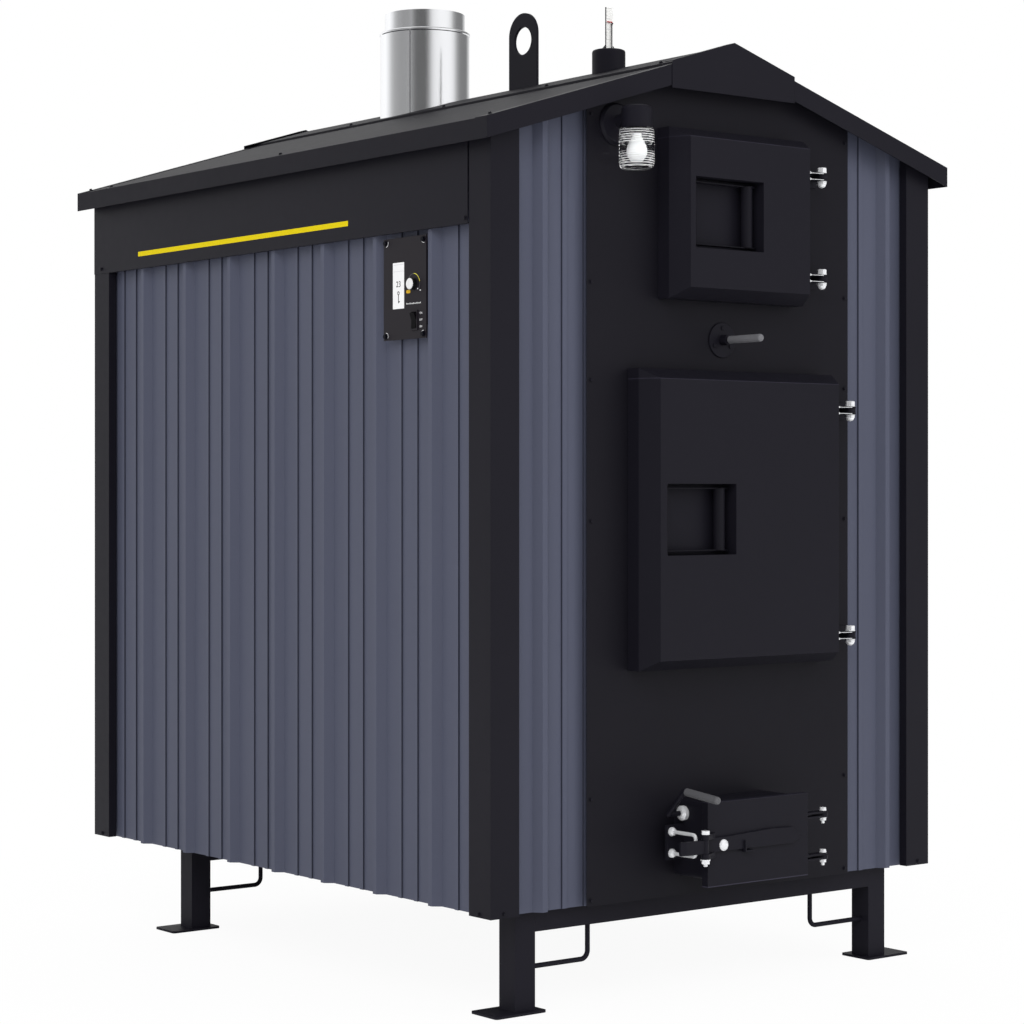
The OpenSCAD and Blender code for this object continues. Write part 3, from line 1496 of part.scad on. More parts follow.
// A grip along -Y with a slim waist and a soft nose
module grip(bore, depth) {
  r = grip_d / 2;
  color("#6c6d70") rotate([90, 0, 0]) difference() {
    turned([[0, 0], [r - 2, 0], [r, 3], [r, grip_len - 5], [r - 1.5, grip_len - 1.5],
                              [r - 4.5, grip_len], [0, grip_len]]);
    raise(-past) cylinder(depth + past, d = bore);
  }
}

module damper_grip() {
  translate([damper_x, rod_front, damper_z]) grip(damper_rod_d, 10);
}

// ---- ash clean-out

module rounded_outline(w, h, r) {
  union() {
    square([w - 2 * r, h], center = true);
    square([w, h - 2 * r], center = true);
    for (x = [-1, 1], z = [-1, 1]) translate([x * (w / 2 - r), z * (h / 2 - r)]) circle(r);
  }
}

module ash_neck() {
  r = 14;
  side = neck_w / 2;
  hinge_x = ash_hinge_x - neck_x;
  keeper_z = latch_z - neck_z;
  color("#1b1b1f") translate([neck_x, 0, neck_z]) {
    difference() {
      sheet_xz(wall_y, neck_len) rounded_outline(neck_w, neck_h, r);
      sheet_xz(wall_y + past, neck_len + 2 * past) rounded_outline(neck_w - 2 * neck_wall, neck_h - 2 * neck_wall, r - neck_wall);
      for (x = [-side, side - neck_wall]) translate([x, lever_y, lever_rise]) rotate([0, 90, 0])
        hole(neck_wall, lever_d + 2 * slip);
    }
    // ear that holds the keeper
    difference() {
      span([-side - 54, wall_y - 36, keeper_z - 42], [-side + 1, wall_y - 28, keeper_z + 42]);
      for (s = [-1, 1])
        rod_y(keeper_x - neck_x, wall_y - 40, wall_y - 20, keeper_z + s * keeper_half, keeper_d + 2 * slip);
    }
    // hinge brackets
    for (z = ash_hinges) raise(z - ear_thin / 2) difference() {
      linear_extrude(height = ear_thin) union() {
        translate([hinge_x, ash_hinge_y]) circle(13);
        polygon([[side - 1, neck_y0 + 75], [side - 1, neck_y0 + 8], [hinge_x - 32, neck_y0 + 8],
                 [hinge_x - 6, ash_hinge_y - 11], [hinge_x + 12.5, ash_hinge_y + 3],
                 [hinge_x + 6, ash_hinge_y + 24]]);
      }
      translate([hinge_x, ash_hinge_y]) hole(ear_thin, ash_bolt_d + 2 * slip);
    }
  }
}

keeper_d = 9;
keeper_half = 26;
keeper_x = neck_x0 - 39;
keeper_reach = ash_face_y + 4;
keeper_bend = 10;

// The U-bolt keeper with its domed nuts, and the gland nut of the lever shaft
module ash_hardware() {
  color("#dcdee0") {
    for (s = [-1, 1]) translate([keeper_x, wall_y - 36, latch_z + s * keeper_half]) {
      rotate([90, 0, 0]) difference() {
        turned([[0, 0], [11, 0], [11, 3], [9, 8], [5, 11], [0, 12]]);
        raise(-past) cylinder(20, d = keeper_d - 1);
      }
      rotate([90, 0, 0]) cylinder(wall_y - 36 - keeper_reach - keeper_bend, d = keeper_d);
      translate([0, 7.9, 0]) rotate([90, 0, 0]) cylinder(8, d = keeper_d);
    }
    for (s = [-1, 1]) translate([keeper_x, keeper_reach + keeper_bend, latch_z + s * (keeper_half - keeper_bend)])
      scale_z(s) rotate([0, -90, 0]) rotate([0, 0, -90]) rotate_extrude(angle = 90) translate([keeper_bend, 0]) circle(d = keeper_d);
    bar([keeper_x, keeper_reach, latch_z - keeper_half + keeper_bend],
        [keeper_x, keeper_reach, latch_z + keeper_half - keeper_bend], keeper_d);
    translate([neck_x0, lever_y, lever_z]) rotate([0, -90, 0]) difference() {
      turned([[0, 0], [18, 0], [18, 9], [15, 12], [11, 15], [0, 15]]);
      hole(15, lever_d + 2 * slip);
      for (a = [0, 120, 240]) rotate([0, 0, a]) translate([12, -1, 13]) cube([8, 2, 4]);
    }
  }
}

module scale_z(s) {
  if (s > 0) children();
  else mirror([0, 0, 1]) children();
}

// Clean-out door: slab with hinge ears, latch bar with its knuckle, and a small stop
module ash_door() {
  x0 = neck_x0 - ash_lip;
  x1 = neck_x1 + ash_lip + 18;
  bar_y = ash_face_y - latch_t;
  bar_z0 = latch_z - latch_h / 2;
  bar_z1 = latch_z + latch_h / 2;
  bar_x1 = neck_x1 - 16;
  color("#1d1d21") {
    difference() {
      union() {
        span([x0, ash_face_y, neck_z + ash_door_foot], [x1, ash_door_y, neck_z + ash_door_top]);
        // latch bar, tapered to the right
        sheet_xz(ash_face_y + past / 2, latch_t + past / 2) polygon([
          [latch_x + 14, bar_z0], [latch_x + 14, bar_z1], [x0 + 60, bar_z1 + 1],
          [bar_x1 - 90, bar_z1 + 8], [bar_x1 - 20, bar_z1 + 6], [bar_x1, latch_z + 6],
          [bar_x1, latch_z - 6], [bar_x1 - 20, bar_z0], [x0 + 60, bar_z0]]);
        // knuckle plates above and below the arm
        for (s = [-1, 1]) raise(latch_z + s * (latch_h + knuckle_t) / 2 - knuckle_t / 2)
          linear_extrude(height = knuckle_t) union() {
          translate([latch_x, latch_y]) circle(10);
          polygon([[latch_x, latch_y + 10], [latch_x, latch_y - 10], [latch_x + 16, latch_y - 4],
                   [latch_x + 42, bar_y + 1], [latch_x + 42, ash_face_y], [latch_x + 14, ash_face_y]]);
        }
        // stop bracket
        span([stop_x, ash_face_y - 14, bar_z0 - 6], [stop_x + 4, ash_face_y + past, latch_z + 4]);
        span([stop_x, ash_face_y - 14, bar_z0 - 8], [stop_x + 28, ash_face_y + past, bar_z0 - 4]);
      }
      translate([latch_x, latch_y, latch_z - 40]) cylinder(80, d = ash_bolt_d + 2 * slip);
    }
    for (z = ash_hinges, s = [-1, 1])
      raise(neck_z + z + s * (ear_thin + gap) - ear_thin / 2) difference() {
        linear_extrude(height = ear_thin) union() {
          translate([ash_hinge_x, ash_hinge_y]) circle(12);
          polygon([[x1 - 1, ash_door_y - 1], [ash_hinge_x, ash_hinge_y + 11.5], [ash_hinge_x, ash_hinge_y - 11.5],
                   [x1 - 1, ash_face_y + 1]]);
        }
        translate([ash_hinge_x, ash_hinge_y]) hole(ear_thin, ash_bolt_d + 2 * slip);
      }
  }
}

// The latch bolt, its nut, and the round bolt that holds the bar to the door
module ash_door_bolts() {
  half = latch_h / 2 + knuckle_t;
  round_x = latch_x + 68;
  color("#dcdee0") {
    translate([latch_x, latch_y, latch_z]) {
      raise(-half - 17) cylinder(2 * half + 17, d = ash_bolt_d);
      raise(half) hex(18, 9);
      raise(-half - 3) cylinder(3, d = 24);
      raise(-half - 11) hex(18, 8);
    }
    translate([round_x, ash_face_y - latch_t, latch_z - 2.5]) rotate([90, 0, 0]) rotate_extrude()
      polygon([[0, 0], [14, 0], [13.5, 2], [10, 4.5], [4.5, 6], [0, 6]]);
  }
}

// Flat arm that swings on the latch bolt; at rest it lies in front of the keeper
module ash_latch_arm() {
  r = 8.5;
  color("#1d1d21") translate([latch_x, latch_y, latch_z - latch_h / 2 + gap]) difference() {
    linear_extrude(height = latch_h - 2 * gap) union() {
      circle(r);
      polygon([[0, 4], [-latch_arm_len + 14, 4], [-latch_arm_len, 9], [-latch_arm_len, 3], [-latch_arm_len + 14, -3],
               [0, -4]]);
    }
    hole(latch_h, ash_bolt_d + 2 * slip);
  }
}

// Cranked lever: a shaft through the neck with a finger on it, and the crank outside
module ash_lever() {
  color("#232327") {
    rod_x(lever_x, neck_x1 - 2, lever_y, lever_z, lever_d);
    translate([lever_x, lever_y, lever_z]) sphere(d = lever_d + 1);
    bar([lever_x, lever_y, lever_z], grip_start + [0, 6 * cos(grip_tilt), 6 * sin(grip_tilt)], lever_d);
    translate(grip_start) rotate([grip_tilt, 0, 0]) {
      translate([0, 6, 0]) sphere(d = lever_d + 1);
      rod_y(0, -10, 6, 0, lever_d);
    }
    span([neck_x - 60, lever_y - 3, lever_z - 22], [neck_x + 60, lever_y + 3, lever_z]);
  }
}

module ash_lever_grip() {
  translate(grip_start) rotate([grip_tilt, 0, 0]) grip(lever_d, 10);
}

// ---- nodes

at() legs();
at() tie_rods();
at() base_frame();
at() floor_pan();
at() water_jacket();
at() firebox();
at() grate();
at() smoke_box();
at() fire_tubes();
at() flue_box();
at() insulation();
at() water_ports();
at() blower();
at() blower_wheel();
at() siding_left();
at() siding_right();
at() siding_ends();
at() corner_trims();
at() front_panel();
at() rear_panel();
at() sign_board();
at() sheet_screws();
at() roof_left();
at() roof_right();
at() ridge_cap();
at() rake_trims();
at() peak_plates();
at() lifting_lug();
at() chimney_pipe();
at() chimney_collar();
at() gauge_cap();
at() gauge_scale();
at() gauge_float();
at() lamp_fixture();
at() lamp_glass();
at() lamp_bulb();
at() control_plate();
at() display_window();
at() control_knob();
at() rocker_switch();
at() upper_door_skin();
at() upper_door_liner();
at() upper_door_gasket();
at() upper_door_handle();
at() lower_door_skin();
at() lower_door_liner();
at() lower_door_gasket();
at() lower_door_handle();
at() hinge_brackets();
at() hinge_bolts();
at() damper_escutcheon();
at() damper_rod();
at() damper_grip();
at() ash_neck();
at() ash_door();
at() ash_hardware();
at() ash_latch_arm();
at() ash_door_bolts();
at() ash_lever();
at() ash_lever_grip();
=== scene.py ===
import math

import bmesh
import bpy
from mathutils import Matrix, Vector


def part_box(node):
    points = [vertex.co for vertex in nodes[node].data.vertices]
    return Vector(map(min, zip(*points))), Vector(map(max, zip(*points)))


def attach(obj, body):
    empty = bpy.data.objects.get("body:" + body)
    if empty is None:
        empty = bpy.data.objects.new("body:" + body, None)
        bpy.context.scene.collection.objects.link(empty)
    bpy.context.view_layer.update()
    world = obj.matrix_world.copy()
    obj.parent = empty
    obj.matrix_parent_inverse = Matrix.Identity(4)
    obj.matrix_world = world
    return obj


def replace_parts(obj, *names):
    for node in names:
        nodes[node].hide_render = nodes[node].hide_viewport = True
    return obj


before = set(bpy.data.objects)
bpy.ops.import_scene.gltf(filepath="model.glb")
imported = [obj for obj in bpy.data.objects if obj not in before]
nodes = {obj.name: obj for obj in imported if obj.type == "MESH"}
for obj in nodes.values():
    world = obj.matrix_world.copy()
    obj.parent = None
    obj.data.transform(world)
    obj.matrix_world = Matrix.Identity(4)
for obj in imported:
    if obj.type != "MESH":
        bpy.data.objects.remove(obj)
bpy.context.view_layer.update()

MM = 0.001
UP = Vector((0.0, 0.0, 1.0))
# along the left wall, towards the front
FORWARD = Vector((0.0, -1.0, 0.0))


# ---------------------------------------------------------------- camera

def make_camera():
    """The photograph's viewpoint: level, 1.2 m up, about 38 degrees to the left of the doors."""
    data = bpy.data.cameras.new("camera")
    data.sensor_width = 36.0
    data.lens = 89.53
    data.shift_y = -0.0201
    data.clip_end = 200.0
    camera = bpy.data.objects.new("camera", data)
    camera.location = (-4.2707, -5.46885, 1.2203)
    camera.rotation_euler = (math.radians(90.0), 0.0, math.radians(-37.953))
    bpy.context.scene.collection.objects.link(camera)
    bpy.context.scene.camera = camera


# ---------------------------------------------------------------- node helpers

class Tree:
    """Short calls for building a node tree."""

    def __init__(self, tree):
        self.tree = tree
        self.tree.nodes.clear()

    def add(self, kind, inputs=None, **settings):
        """A node with its settings, and its inputs linked to sockets or set to values."""
        node = self.tree.nodes.new(kind)
        for name, value in settings.items():
            setattr(node, name, value)
        for name, value in (inputs or {}).items():
            if isinstance(value, bpy.types.NodeSocket):
                self.tree.links.new(value, node.inputs[name])
            else:
                node.inputs[name].default_value = value
        return node

    def math(self, operation, a, b=0.0, clamp=False):
        return self.add("ShaderNodeMath", {0: a, 1: b}, operation=operation, use_clamp=clamp).outputs[0]

    def times(self, a, b, clamp=False):
        return self.math("MULTIPLY", a, b, clamp)

    def above(self, value, limit):
        """1 where value is more than the limit, else 0."""
        return self.math("GREATER_THAN", value, limit)

    def below(self, value, limit):
        """1 where value is less than the limit, else 0."""
        return self.math("LESS_THAN", value, limit)

    def between(self, value, low, high):
        """1 where value lies between low and high, else 0."""
        return self.times(self.above(value, low), self.below(value, high))

    def spread(self, value, low, high):
        """Takes 0 to 1 to low to high."""
        return self.add("ShaderNodeMapRange", {0: value, 3: low, 4: high}).outputs[0]

    def mix(self, factor, a, b):
        return self.add("ShaderNodeMix", {0: factor, 6: a, 7: b}, data_type="RGBA").outputs[2]

    def ramp(self, factor, stops):
        """Greys along the factor, from (position, value) stops."""
        node = self.add("ShaderNodeValToRGB", {"Fac": factor})
        elements = node.color_ramp.elements
        while len(elements) < len(stops):
            elements.new(0.5)
        for element, (at, value) in zip(elements, stops):
            element.position = at
            element.color = (value, value, value, 1.0)
        return node.outputs["Color"]

    def place(self):
        """The point of the surface in the row frame, which moves with its piece, and its x, y and z."""
        point = self.add("ShaderNodeTexCoord").outputs["Object"]
        split = self.add("ShaderNodeSeparateXYZ", {0: point})
        return point, split.outputs[0], split.outputs[1], split.outputs[2]

    def noise(self, point, scale, detail, roughness=0.55, stretch=None):
        if stretch is not None:
            point = self.add("ShaderNodeMapping", {"Vector": point, "Scale": stretch}).outputs[0]
        inputs = {"Vector": point, "Scale": scale, "Detail": detail, "Roughness": roughness}
        return self.add("ShaderNodeTexNoise", inputs).outputs["Fac"]

    def bump(self, height, distance, strength, rounding=0.0):
        """Relief from a height; rounding also softens the piece's edges by that radius."""
        inputs = {"Height": height, "Distance": distance, "Strength": strength}
        if rounding:
            inputs["Normal"] = self.add("ShaderNodeBevel", {"Radius": rounding}, samples=4).outputs[0]
        return self.add("ShaderNodeBump", inputs).outputs[0]

    def shader(self, **inputs):
        """The material's one shader; an underscore in a name stands for the space in the socket's name."""
        node = self.add("ShaderNodeBsdfPrincipled", {key.replace("_", " "): value for key, value in inputs.items()})
        self.add("ShaderNodeOutputMaterial", {0: node.outputs[0]})


def srgb(red, green, blue):
    """0 to 255 on screen, as the scene's own colour."""
    def linear(value):
        value /= 255.0
        return value / 12.92 if value <= 0.04045 else ((value + 0.055) / 1.055) ** 2.4
    return (linear(red), linear(green), linear(blue), 1.0)


def scaled(colour, factor):
    return tuple(min(1.0, channel * factor) for channel in colour[:3]) + (1.0,)


def varied(colour, variation):
    """The colour a little darker and a little lighter."""
    return scaled(colour, 1.0 - variation), scaled(colour, 1.0 + variation)


def new_material(name):
    material = bpy.data.materials.new(name)
    material.use_nodes = True
    return material, Tree(material.node_tree)


# ---------------------------------------------------------------- materials

EDGE_ROUNDING = 1.6 * MM
PEEL_DEPTH = 0.2 * MM
PEEL_STRENGTH = 0.35
UPRIGHT = (1.0, 1.0, 0.06)


def sheet_noises(t, point):
    """What coated sheet steel shows: slow changes of tone, fine grain and faint upright streaks."""
    return t.noise(point, 2.3, 3.0), t.noise(point, 40.0, 5.0), t.noise(point, 18.0, 3.0, stretch=UPRIGHT)


def coated(name, colour, rough=0.42, specular=0.09, variation=0.10, dust=0.0, edge_highlights=()):
    """Powder coat on sheet steel: a fine orange peel, slow changes of tone and faint handling marks.
    edge_highlights lists level edges painted lighter as painted highlights, each as (lowest z, highest z, how much
    lighter)."""
    material, t = new_material(name)
    point, _, _, z = t.place()
    slow, fine, streak = sheet_noises(t, point)
    tone = t.mix(slow, *varied(colour, variation))
    tone = t.mix(t.times(streak, variation), tone, scaled(colour, 1.35))
    if dust:
        # the dust thins out over the lowest 0.7 m
        low = t.ramp(t.times(z, 1.4), [(0.0, 1.0), (1.0, 0.0)])
        tone = t.mix(t.times(t.times(low, fine), dust, clamp=True), tone, scaled(colour, 2.2))
    # painted highlights: thin level lines along edges, lighter where the fine grain is
    for start, end, lighter in edge_highlights:
        edge_highlight = t.times(t.between(z, start, end), t.math("ADD", fine, 0.3, clamp=True))
        tone = t.mix(edge_highlight, tone, scaled(colour, lighter))
    peel = t.noise(point, 900.0, 2.0)
    t.shader(Base_Color=tone, Roughness=t.spread(fine, rough - 0.05, rough + 0.07), Specular_IOR_Level=specular,
             Normal=t.bump(peel, PEEL_DEPTH, PEEL_STRENGTH, EDGE_ROUNDING))
    return material


def ribbed(name, colour, across):
    """Coil-coated ribbed sheet. The flanks of its ribs, where the sheet faces sideways, are painted dark as painted
    shade.
    across is the wall's own outward axis: 0 for X and 1 for Y."""
    material, t = new_material(name)
    coord = t.add("ShaderNodeTexCoord")
    point = coord.outputs["Object"]
    facing = t.math("ABSOLUTE", t.add("ShaderNodeSeparateXYZ", {0: coord.outputs["Normal"]}).outputs[across])
    flank_shade = t.ramp(facing, [(0.0, 1.0), (0.42, 1.0), (0.55, 0.0)])
    slow, fine, streak = sheet_noises(t, point)
    tone = t.mix(slow, *varied(colour, 0.025))
    tone = t.mix(t.times(streak, 0.05), tone, scaled(colour, 1.3))
    # painted shade on the rib flanks
    tone = t.mix(t.times(flank_shade, 0.62), tone, srgb(14, 15, 22))
    peel = t.noise(point, 700.0, 2.0)
    t.shader(Base_Color=tone, Roughness=t.spread(fine, 0.41, 0.53), Specular_IOR_Level=0.16,
             Normal=t.bump(peel, PEEL_DEPTH, PEEL_STRENGTH))
    return material


def metal(name, colour, rough, brush, scale, depth=0.04 * MM, variation=0.06, spots=0.0, metallic=1.0,
          lines_dark=0.18):
    """Bare or plated metal with fine brush lines along one direction."""
    material, t = new_material(name)
    point = t.place()[0]
    lines = t.noise(point, scale, 3.0, 0.6, stretch=brush)
    slow = t.noise(point, 6.0, 3.0)
    tone = t.mix(slow, *varied(colour, variation))
    tone = t.mix(t.times(lines, lines_dark), tone, scaled(colour, 0.75))
    if spots:
        speck = t.above(t.noise(point, 260.0, 2.0), 0.66)
        tone = t.mix(t.times(speck, spots), tone, scaled(colour, 0.5))
    t.shader(Base_Color=tone, Metallic=metallic, Roughness=t.spread(lines, rough - 0.07, rough + 0.1),
             Normal=t.bump(lines, depth, 0.5))
    return material


def cast(name, colour, rough, grain=160.0, depth=0.6 * MM, metallic=0.0):
    """A rough casting, blanket or rubber: grain at two scales."""
    material, t = new_material(name)
    point = t.place()[0]
    coarse = t.noise(point, grain, 6.0, 0.65)
    slow = t.noise(point, 7.0, 3.0)
    tone = t.mix(coarse, *varied(colour, 0.2))
    tone = t.mix(t.times(slow, 0.4), tone, scaled(colour, 1.35))
    t.shader(Base_Color=tone, Metallic=metallic, Roughness=rough, Specular_IOR_Level=0.4,
             Normal=t.bump(coarse, depth, 0.6))
    return material


def woven(name, colour):
    """Plaited glass rope: strands wound across its length."""
    material, t = new_material(name)
    point = t.place()[0]
    slant = (0.0, math.radians(45.0), 0.0)
    diagonal = t.add("ShaderNodeMapping", {"Vector": point, "Rotation": slant}).outputs[0]
    waves = t.add("ShaderNodeTexWave", {"Vector": diagonal, "Scale": 130.0, "Distortion": 1.5, "Detail": 2.0})
    strands = waves.outputs["Fac"]
    fibre = t.noise(point, 600.0, 3.0)
    tone = t.mix(strands, scaled(colour, 0.55), colour)
    tone = t.mix(t.times(fibre, 0.4), tone, scaled(colour, 1.25))
    t.shader(Base_Color=tone, Roughness=0.9, Normal=t.bump(strands, 1.2 * MM, 0.8))
    return material


def glass(name):
    """Clear jar glass; the light its rings catch is painted on as fine white lines, a painted highlight, in a group
    at the top and one at the foot.
    """
    material, t = new_material(name)
    point, _, _, z = t.place()
    low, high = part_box("lamp_glass")
    height = high.z - low.z
    up = t.math("SUBTRACT", z, low.z)
    line = t.below(t.math("MODULO", up, 5.6 * MM), 1.15 * MM)
    foot, top = t.between(up, 0.02 * height, 0.40 * height), t.between(up, 0.62 * height, 0.98 * height)
    ring = t.times(line, t.math("MAXIMUM", foot, top))
    haze = t.noise(point, 60.0, 3.0)
    # painted highlight: the ring lines are less clear and show the white base colour
    clear = t.math("SUBTRACT", 1.0, t.times(ring, 0.6))
    t.shader(Base_Color=(1.0, 1.0, 1.0, 1.0), Roughness=t.spread(haze, 0.01, 0.05), IOR=1.09,
             Transmission_Weight=clear, Normal=t.bump(haze, 0.3 * MM, 0.2))
    return material


def plain(name, colour, rough=0.35, specular=0.5, grain=300.0, variation=0.03):
    """Moulded plastic, enamel or printed film."""
    material, t = new_material(name)
    fine = t.noise(t.place()[0], grain, 3.0)
    t.shader(Base_Color=t.mix(fine, *varied(colour, variation)), Roughness=rough, Specular_IOR_Level=specular,
             Normal=t.bump(fine, 0.06 * MM, 0.4))
    return material


def gauge_paint():
    """The gauge's scale: white with a dark left edge and faint marks; its gussets are black."""
    material, t = new_material("gauge_scale_paint")
    point, x, _, z = t.place()
    low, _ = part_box("gauge_scale")
    half, edge, step = 12.0 * MM, 2.2 * MM, 9.0 * MM
    marks_start = -half + 3.0 * MM
    height = t.math("SUBTRACT", z, low.z)

    def marks(every, thick, end):
        """Level lines at each multiple of a height, from the left margin to an end."""
        return t.times(t.below(t.math("MODULO", height, every), thick), t.between(x, marks_start, end))

    short = marks(step, 0.9 * MM, -half + 8.0 * MM)
    long = marks(3.0 * step, 1.2 * MM, half - 5.0 * MM)
    grime = t.noise(point, 90.0, 4.0)
    tone = t.mix(grime, srgb(246, 246, 245), srgb(236, 236, 233))
    tone = t.mix(t.times(t.math("MAXIMUM", short, long), 0.5), tone, srgb(120, 120, 122))
    gusset, left = t.above(t.math("ABSOLUTE", x), half), t.below(x, -half + edge)
    tone = t.mix(t.math("MAXIMUM", gusset, left), tone, srgb(26, 26, 29))
    t.shader(Base_Color=tone, Roughness=0.4, Specular_IOR_Level=0.4, Normal=t.bump(grime, 0.1 * MM, 0.3))
    return material


def knob_paint():
    """Black moulded knob with a white face."""
    material, t = new_material("knob_moulding")
    point, x, _, _ = t.place()
    low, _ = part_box("control_knob")
    fine = t.noise(point, 500.0, 3.0)
    face = t.below(x, low.x + 2.6 * MM)
    black = t.mix(fine, srgb(13, 13, 15), srgb(19, 19, 21))
    white = t.mix(fine, srgb(218, 218, 218), srgb(226, 226, 227))
    t.shader(Base_Color=t.mix(face, black, white), Roughness=0.4, Specular_IOR_Level=0.3,
             Normal=t.bump(fine, 0.06 * MM, 0.3))
    return material


def float_paint():
    """Dark wire with a red pointer at its top, and a bright float below."""
    material, t = new_material("gauge_wire_paint")
    point, x, _, z = t.place()
    low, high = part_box("gauge_float")
    pointer = t.times(t.above(z, high.z - 3.6 * MM), t.below(x, 7.0 * MM))
    body = t.below(z, low.z + 30.0 * MM)
    fine = t.noise(point, 400.0, 3.0)
    tone = t.mix(fine, srgb(44, 43, 46), srgb(58, 56, 60))
    tone = t.mix(pointer, tone, srgb(178, 34, 40))
    tone = t.mix(body, tone, srgb(200, 200, 198))
    t.shader(Base_Color=tone, Metallic=body, Roughness=0.35, Normal=t.bump(fine, 0.05 * MM, 0.4))
    return material


BLACK = srgb(24, 23, 30)
SIDING = srgb(75, 78, 94)
LENGTHWAYS = (1.0, 1.0, 0.03)
EVERY_WAY = (1.0, 1.0, 0.3)

paint = {
    "black": coated("black_coat", BLACK),
    "panel": coated("panel_coat", srgb(22, 21, 27), rough=0.45),
    "roof": coated("roof_coat", scaled(BLACK, 0.95), rough=0.55, specular=0.12),
    "leg": coated("leg_coat", scaled(BLACK, 1.15), rough=0.5, dust=0.12),
    "motor": coated("motor_enamel", srgb(70, 75, 82), rough=0.4, specular=0.4),
    "siding": ribbed("siding_coat", SIDING, 0),
    "siding_front": ribbed("siding_front_coat", SIDING, 1),
    "stainless": metal("brushed_stainless", srgb(250, 251, 254), rough=0.15, brush=LENGTHWAYS, scale=420.0,
                       depth=0.02 * MM, variation=0.015, lines_dark=0.08),
    "seam": metal("seam_steel", srgb(206, 207, 210), rough=0.3, brush=LENGTHWAYS, scale=300.0),
    # bright metal for the hinge ears' weld beads and edge strips: painted glints and highlights
    "bare": metal("bare_edge", srgb(226, 227, 230), rough=0.35, brush=EVERY_WAY, scale=300.0, metallic=0.3),
    "zinc": metal("bright_zinc", srgb(236, 237, 240), rough=0.22, brush=EVERY_WAY, scale=300.0, spots=0.1,
                  metallic=0.3),
    "boiler": metal("boiler_plate", srgb(120, 121, 124), rough=0.45, brush=(1.0, 0.05, 1.0), scale=220.0,
                    variation=0.15),
    "brass": metal("port_brass", srgb(190, 158, 98), rough=0.3, brush=(0.1, 1.0, 0.1), scale=260.0),
    "iron": cast("grate_iron", srgb(62, 61, 60), rough=0.75, metallic=0.5),
    "blanket": cast("mineral_blanket", srgb(206, 190, 148), rough=0.95, grain=90.0, depth=4.0 * MM),
    "rubber": cast("grip_rubber", srgb(84, 84, 87), rough=0.6, grain=700.0, depth=0.1 * MM),
    "rubber_worn": cast("grip_rubber_worn", srgb(100, 100, 104), rough=0.6, grain=700.0, depth=0.1 * MM),
    "rope": woven("gasket_rope", srgb(170, 164, 148)),
    "glass": glass("jar_glass"),
    "bulb": plain("bulb_white", srgb(226, 228, 229), rough=0.3, specular=0.3),
    "socket": plain("socket_black", srgb(18, 18, 20), rough=0.5, specular=0.2),
    "white": plain("display_white", srgb(232, 232, 233), specular=0.2),
    "rocker": plain("rocker_black", srgb(6, 5, 8), rough=0.5, specular=0.05),
    "screw": plain("screw_black", srgb(12, 12, 20), rough=0.5, specular=0.08),
    "plate": plain("control_film", srgb(31, 28, 33), rough=0.45, specular=0.12, grain=500.0, variation=0.06),
    "yellow": plain("stripe_yellow", srgb(214, 192, 4), rough=0.5, specular=0.06, grain=200.0),
    "lemon": plain("dial_lemon", srgb(216, 206, 70), rough=0.4, specular=0.2),
    "amber": plain("mark_amber", srgb(206, 162, 10), rough=0.4, specular=0.2),
    "mark_white": plain("mark_white", srgb(222, 222, 224), rough=0.4),
    "mark_pale": plain("mark_pale", srgb(200, 200, 204), rough=0.4),
    "mark_grey": plain("mark_grey", srgb(96, 95, 99), rough=0.4),
    "ink": plain("mark_ink", srgb(14, 14, 16), rough=0.6, specular=0.1),
    "scale": gauge_paint(),
    "knob": knob_paint(),
    "float": float_paint(),
}

# which solids have which paint; the doors, their handles and the ash door have one each
COATS = {
    "black": "corner_trims sign_board rake_trims peak_plates lifting_lug gauge_cap lamp_fixture sheet_screws "
             "hinge_brackets damper_escutcheon ash_neck ash_latch_arm ash_lever damper_rod rear_panel",
    "panel": "front_panel",
    "roof": "roof_left roof_right ridge_cap",
    "leg": "legs tie_rods base_frame floor_pan",
    "motor": "blower",
    "siding": "siding_left siding_right",
    "siding_front": "siding_ends",
    "stainless": "chimney_pipe chimney_collar",
    "zinc": "hinge_bolts ash_hardware ash_door_bolts",
    "boiler": "water_jacket firebox smoke_box fire_tubes flue_box blower_wheel upper_door_liner lower_door_liner",
    "brass": "water_ports",
    "iron": "grate",
    "blanket": "insulation",
    "rubber": "ash_lever_grip",
    "rubber_worn": "damper_grip",
    "rope": "upper_door_gasket lower_door_gasket",
    "glass": "lamp_glass",
    "bulb": "lamp_bulb",
    "white": "display_window",
    "rocker": "rocker_switch",
    "plate": "control_plate",
    "scale": "gauge_scale",
    "knob": "control_knob",
    "float": "gauge_float",
}


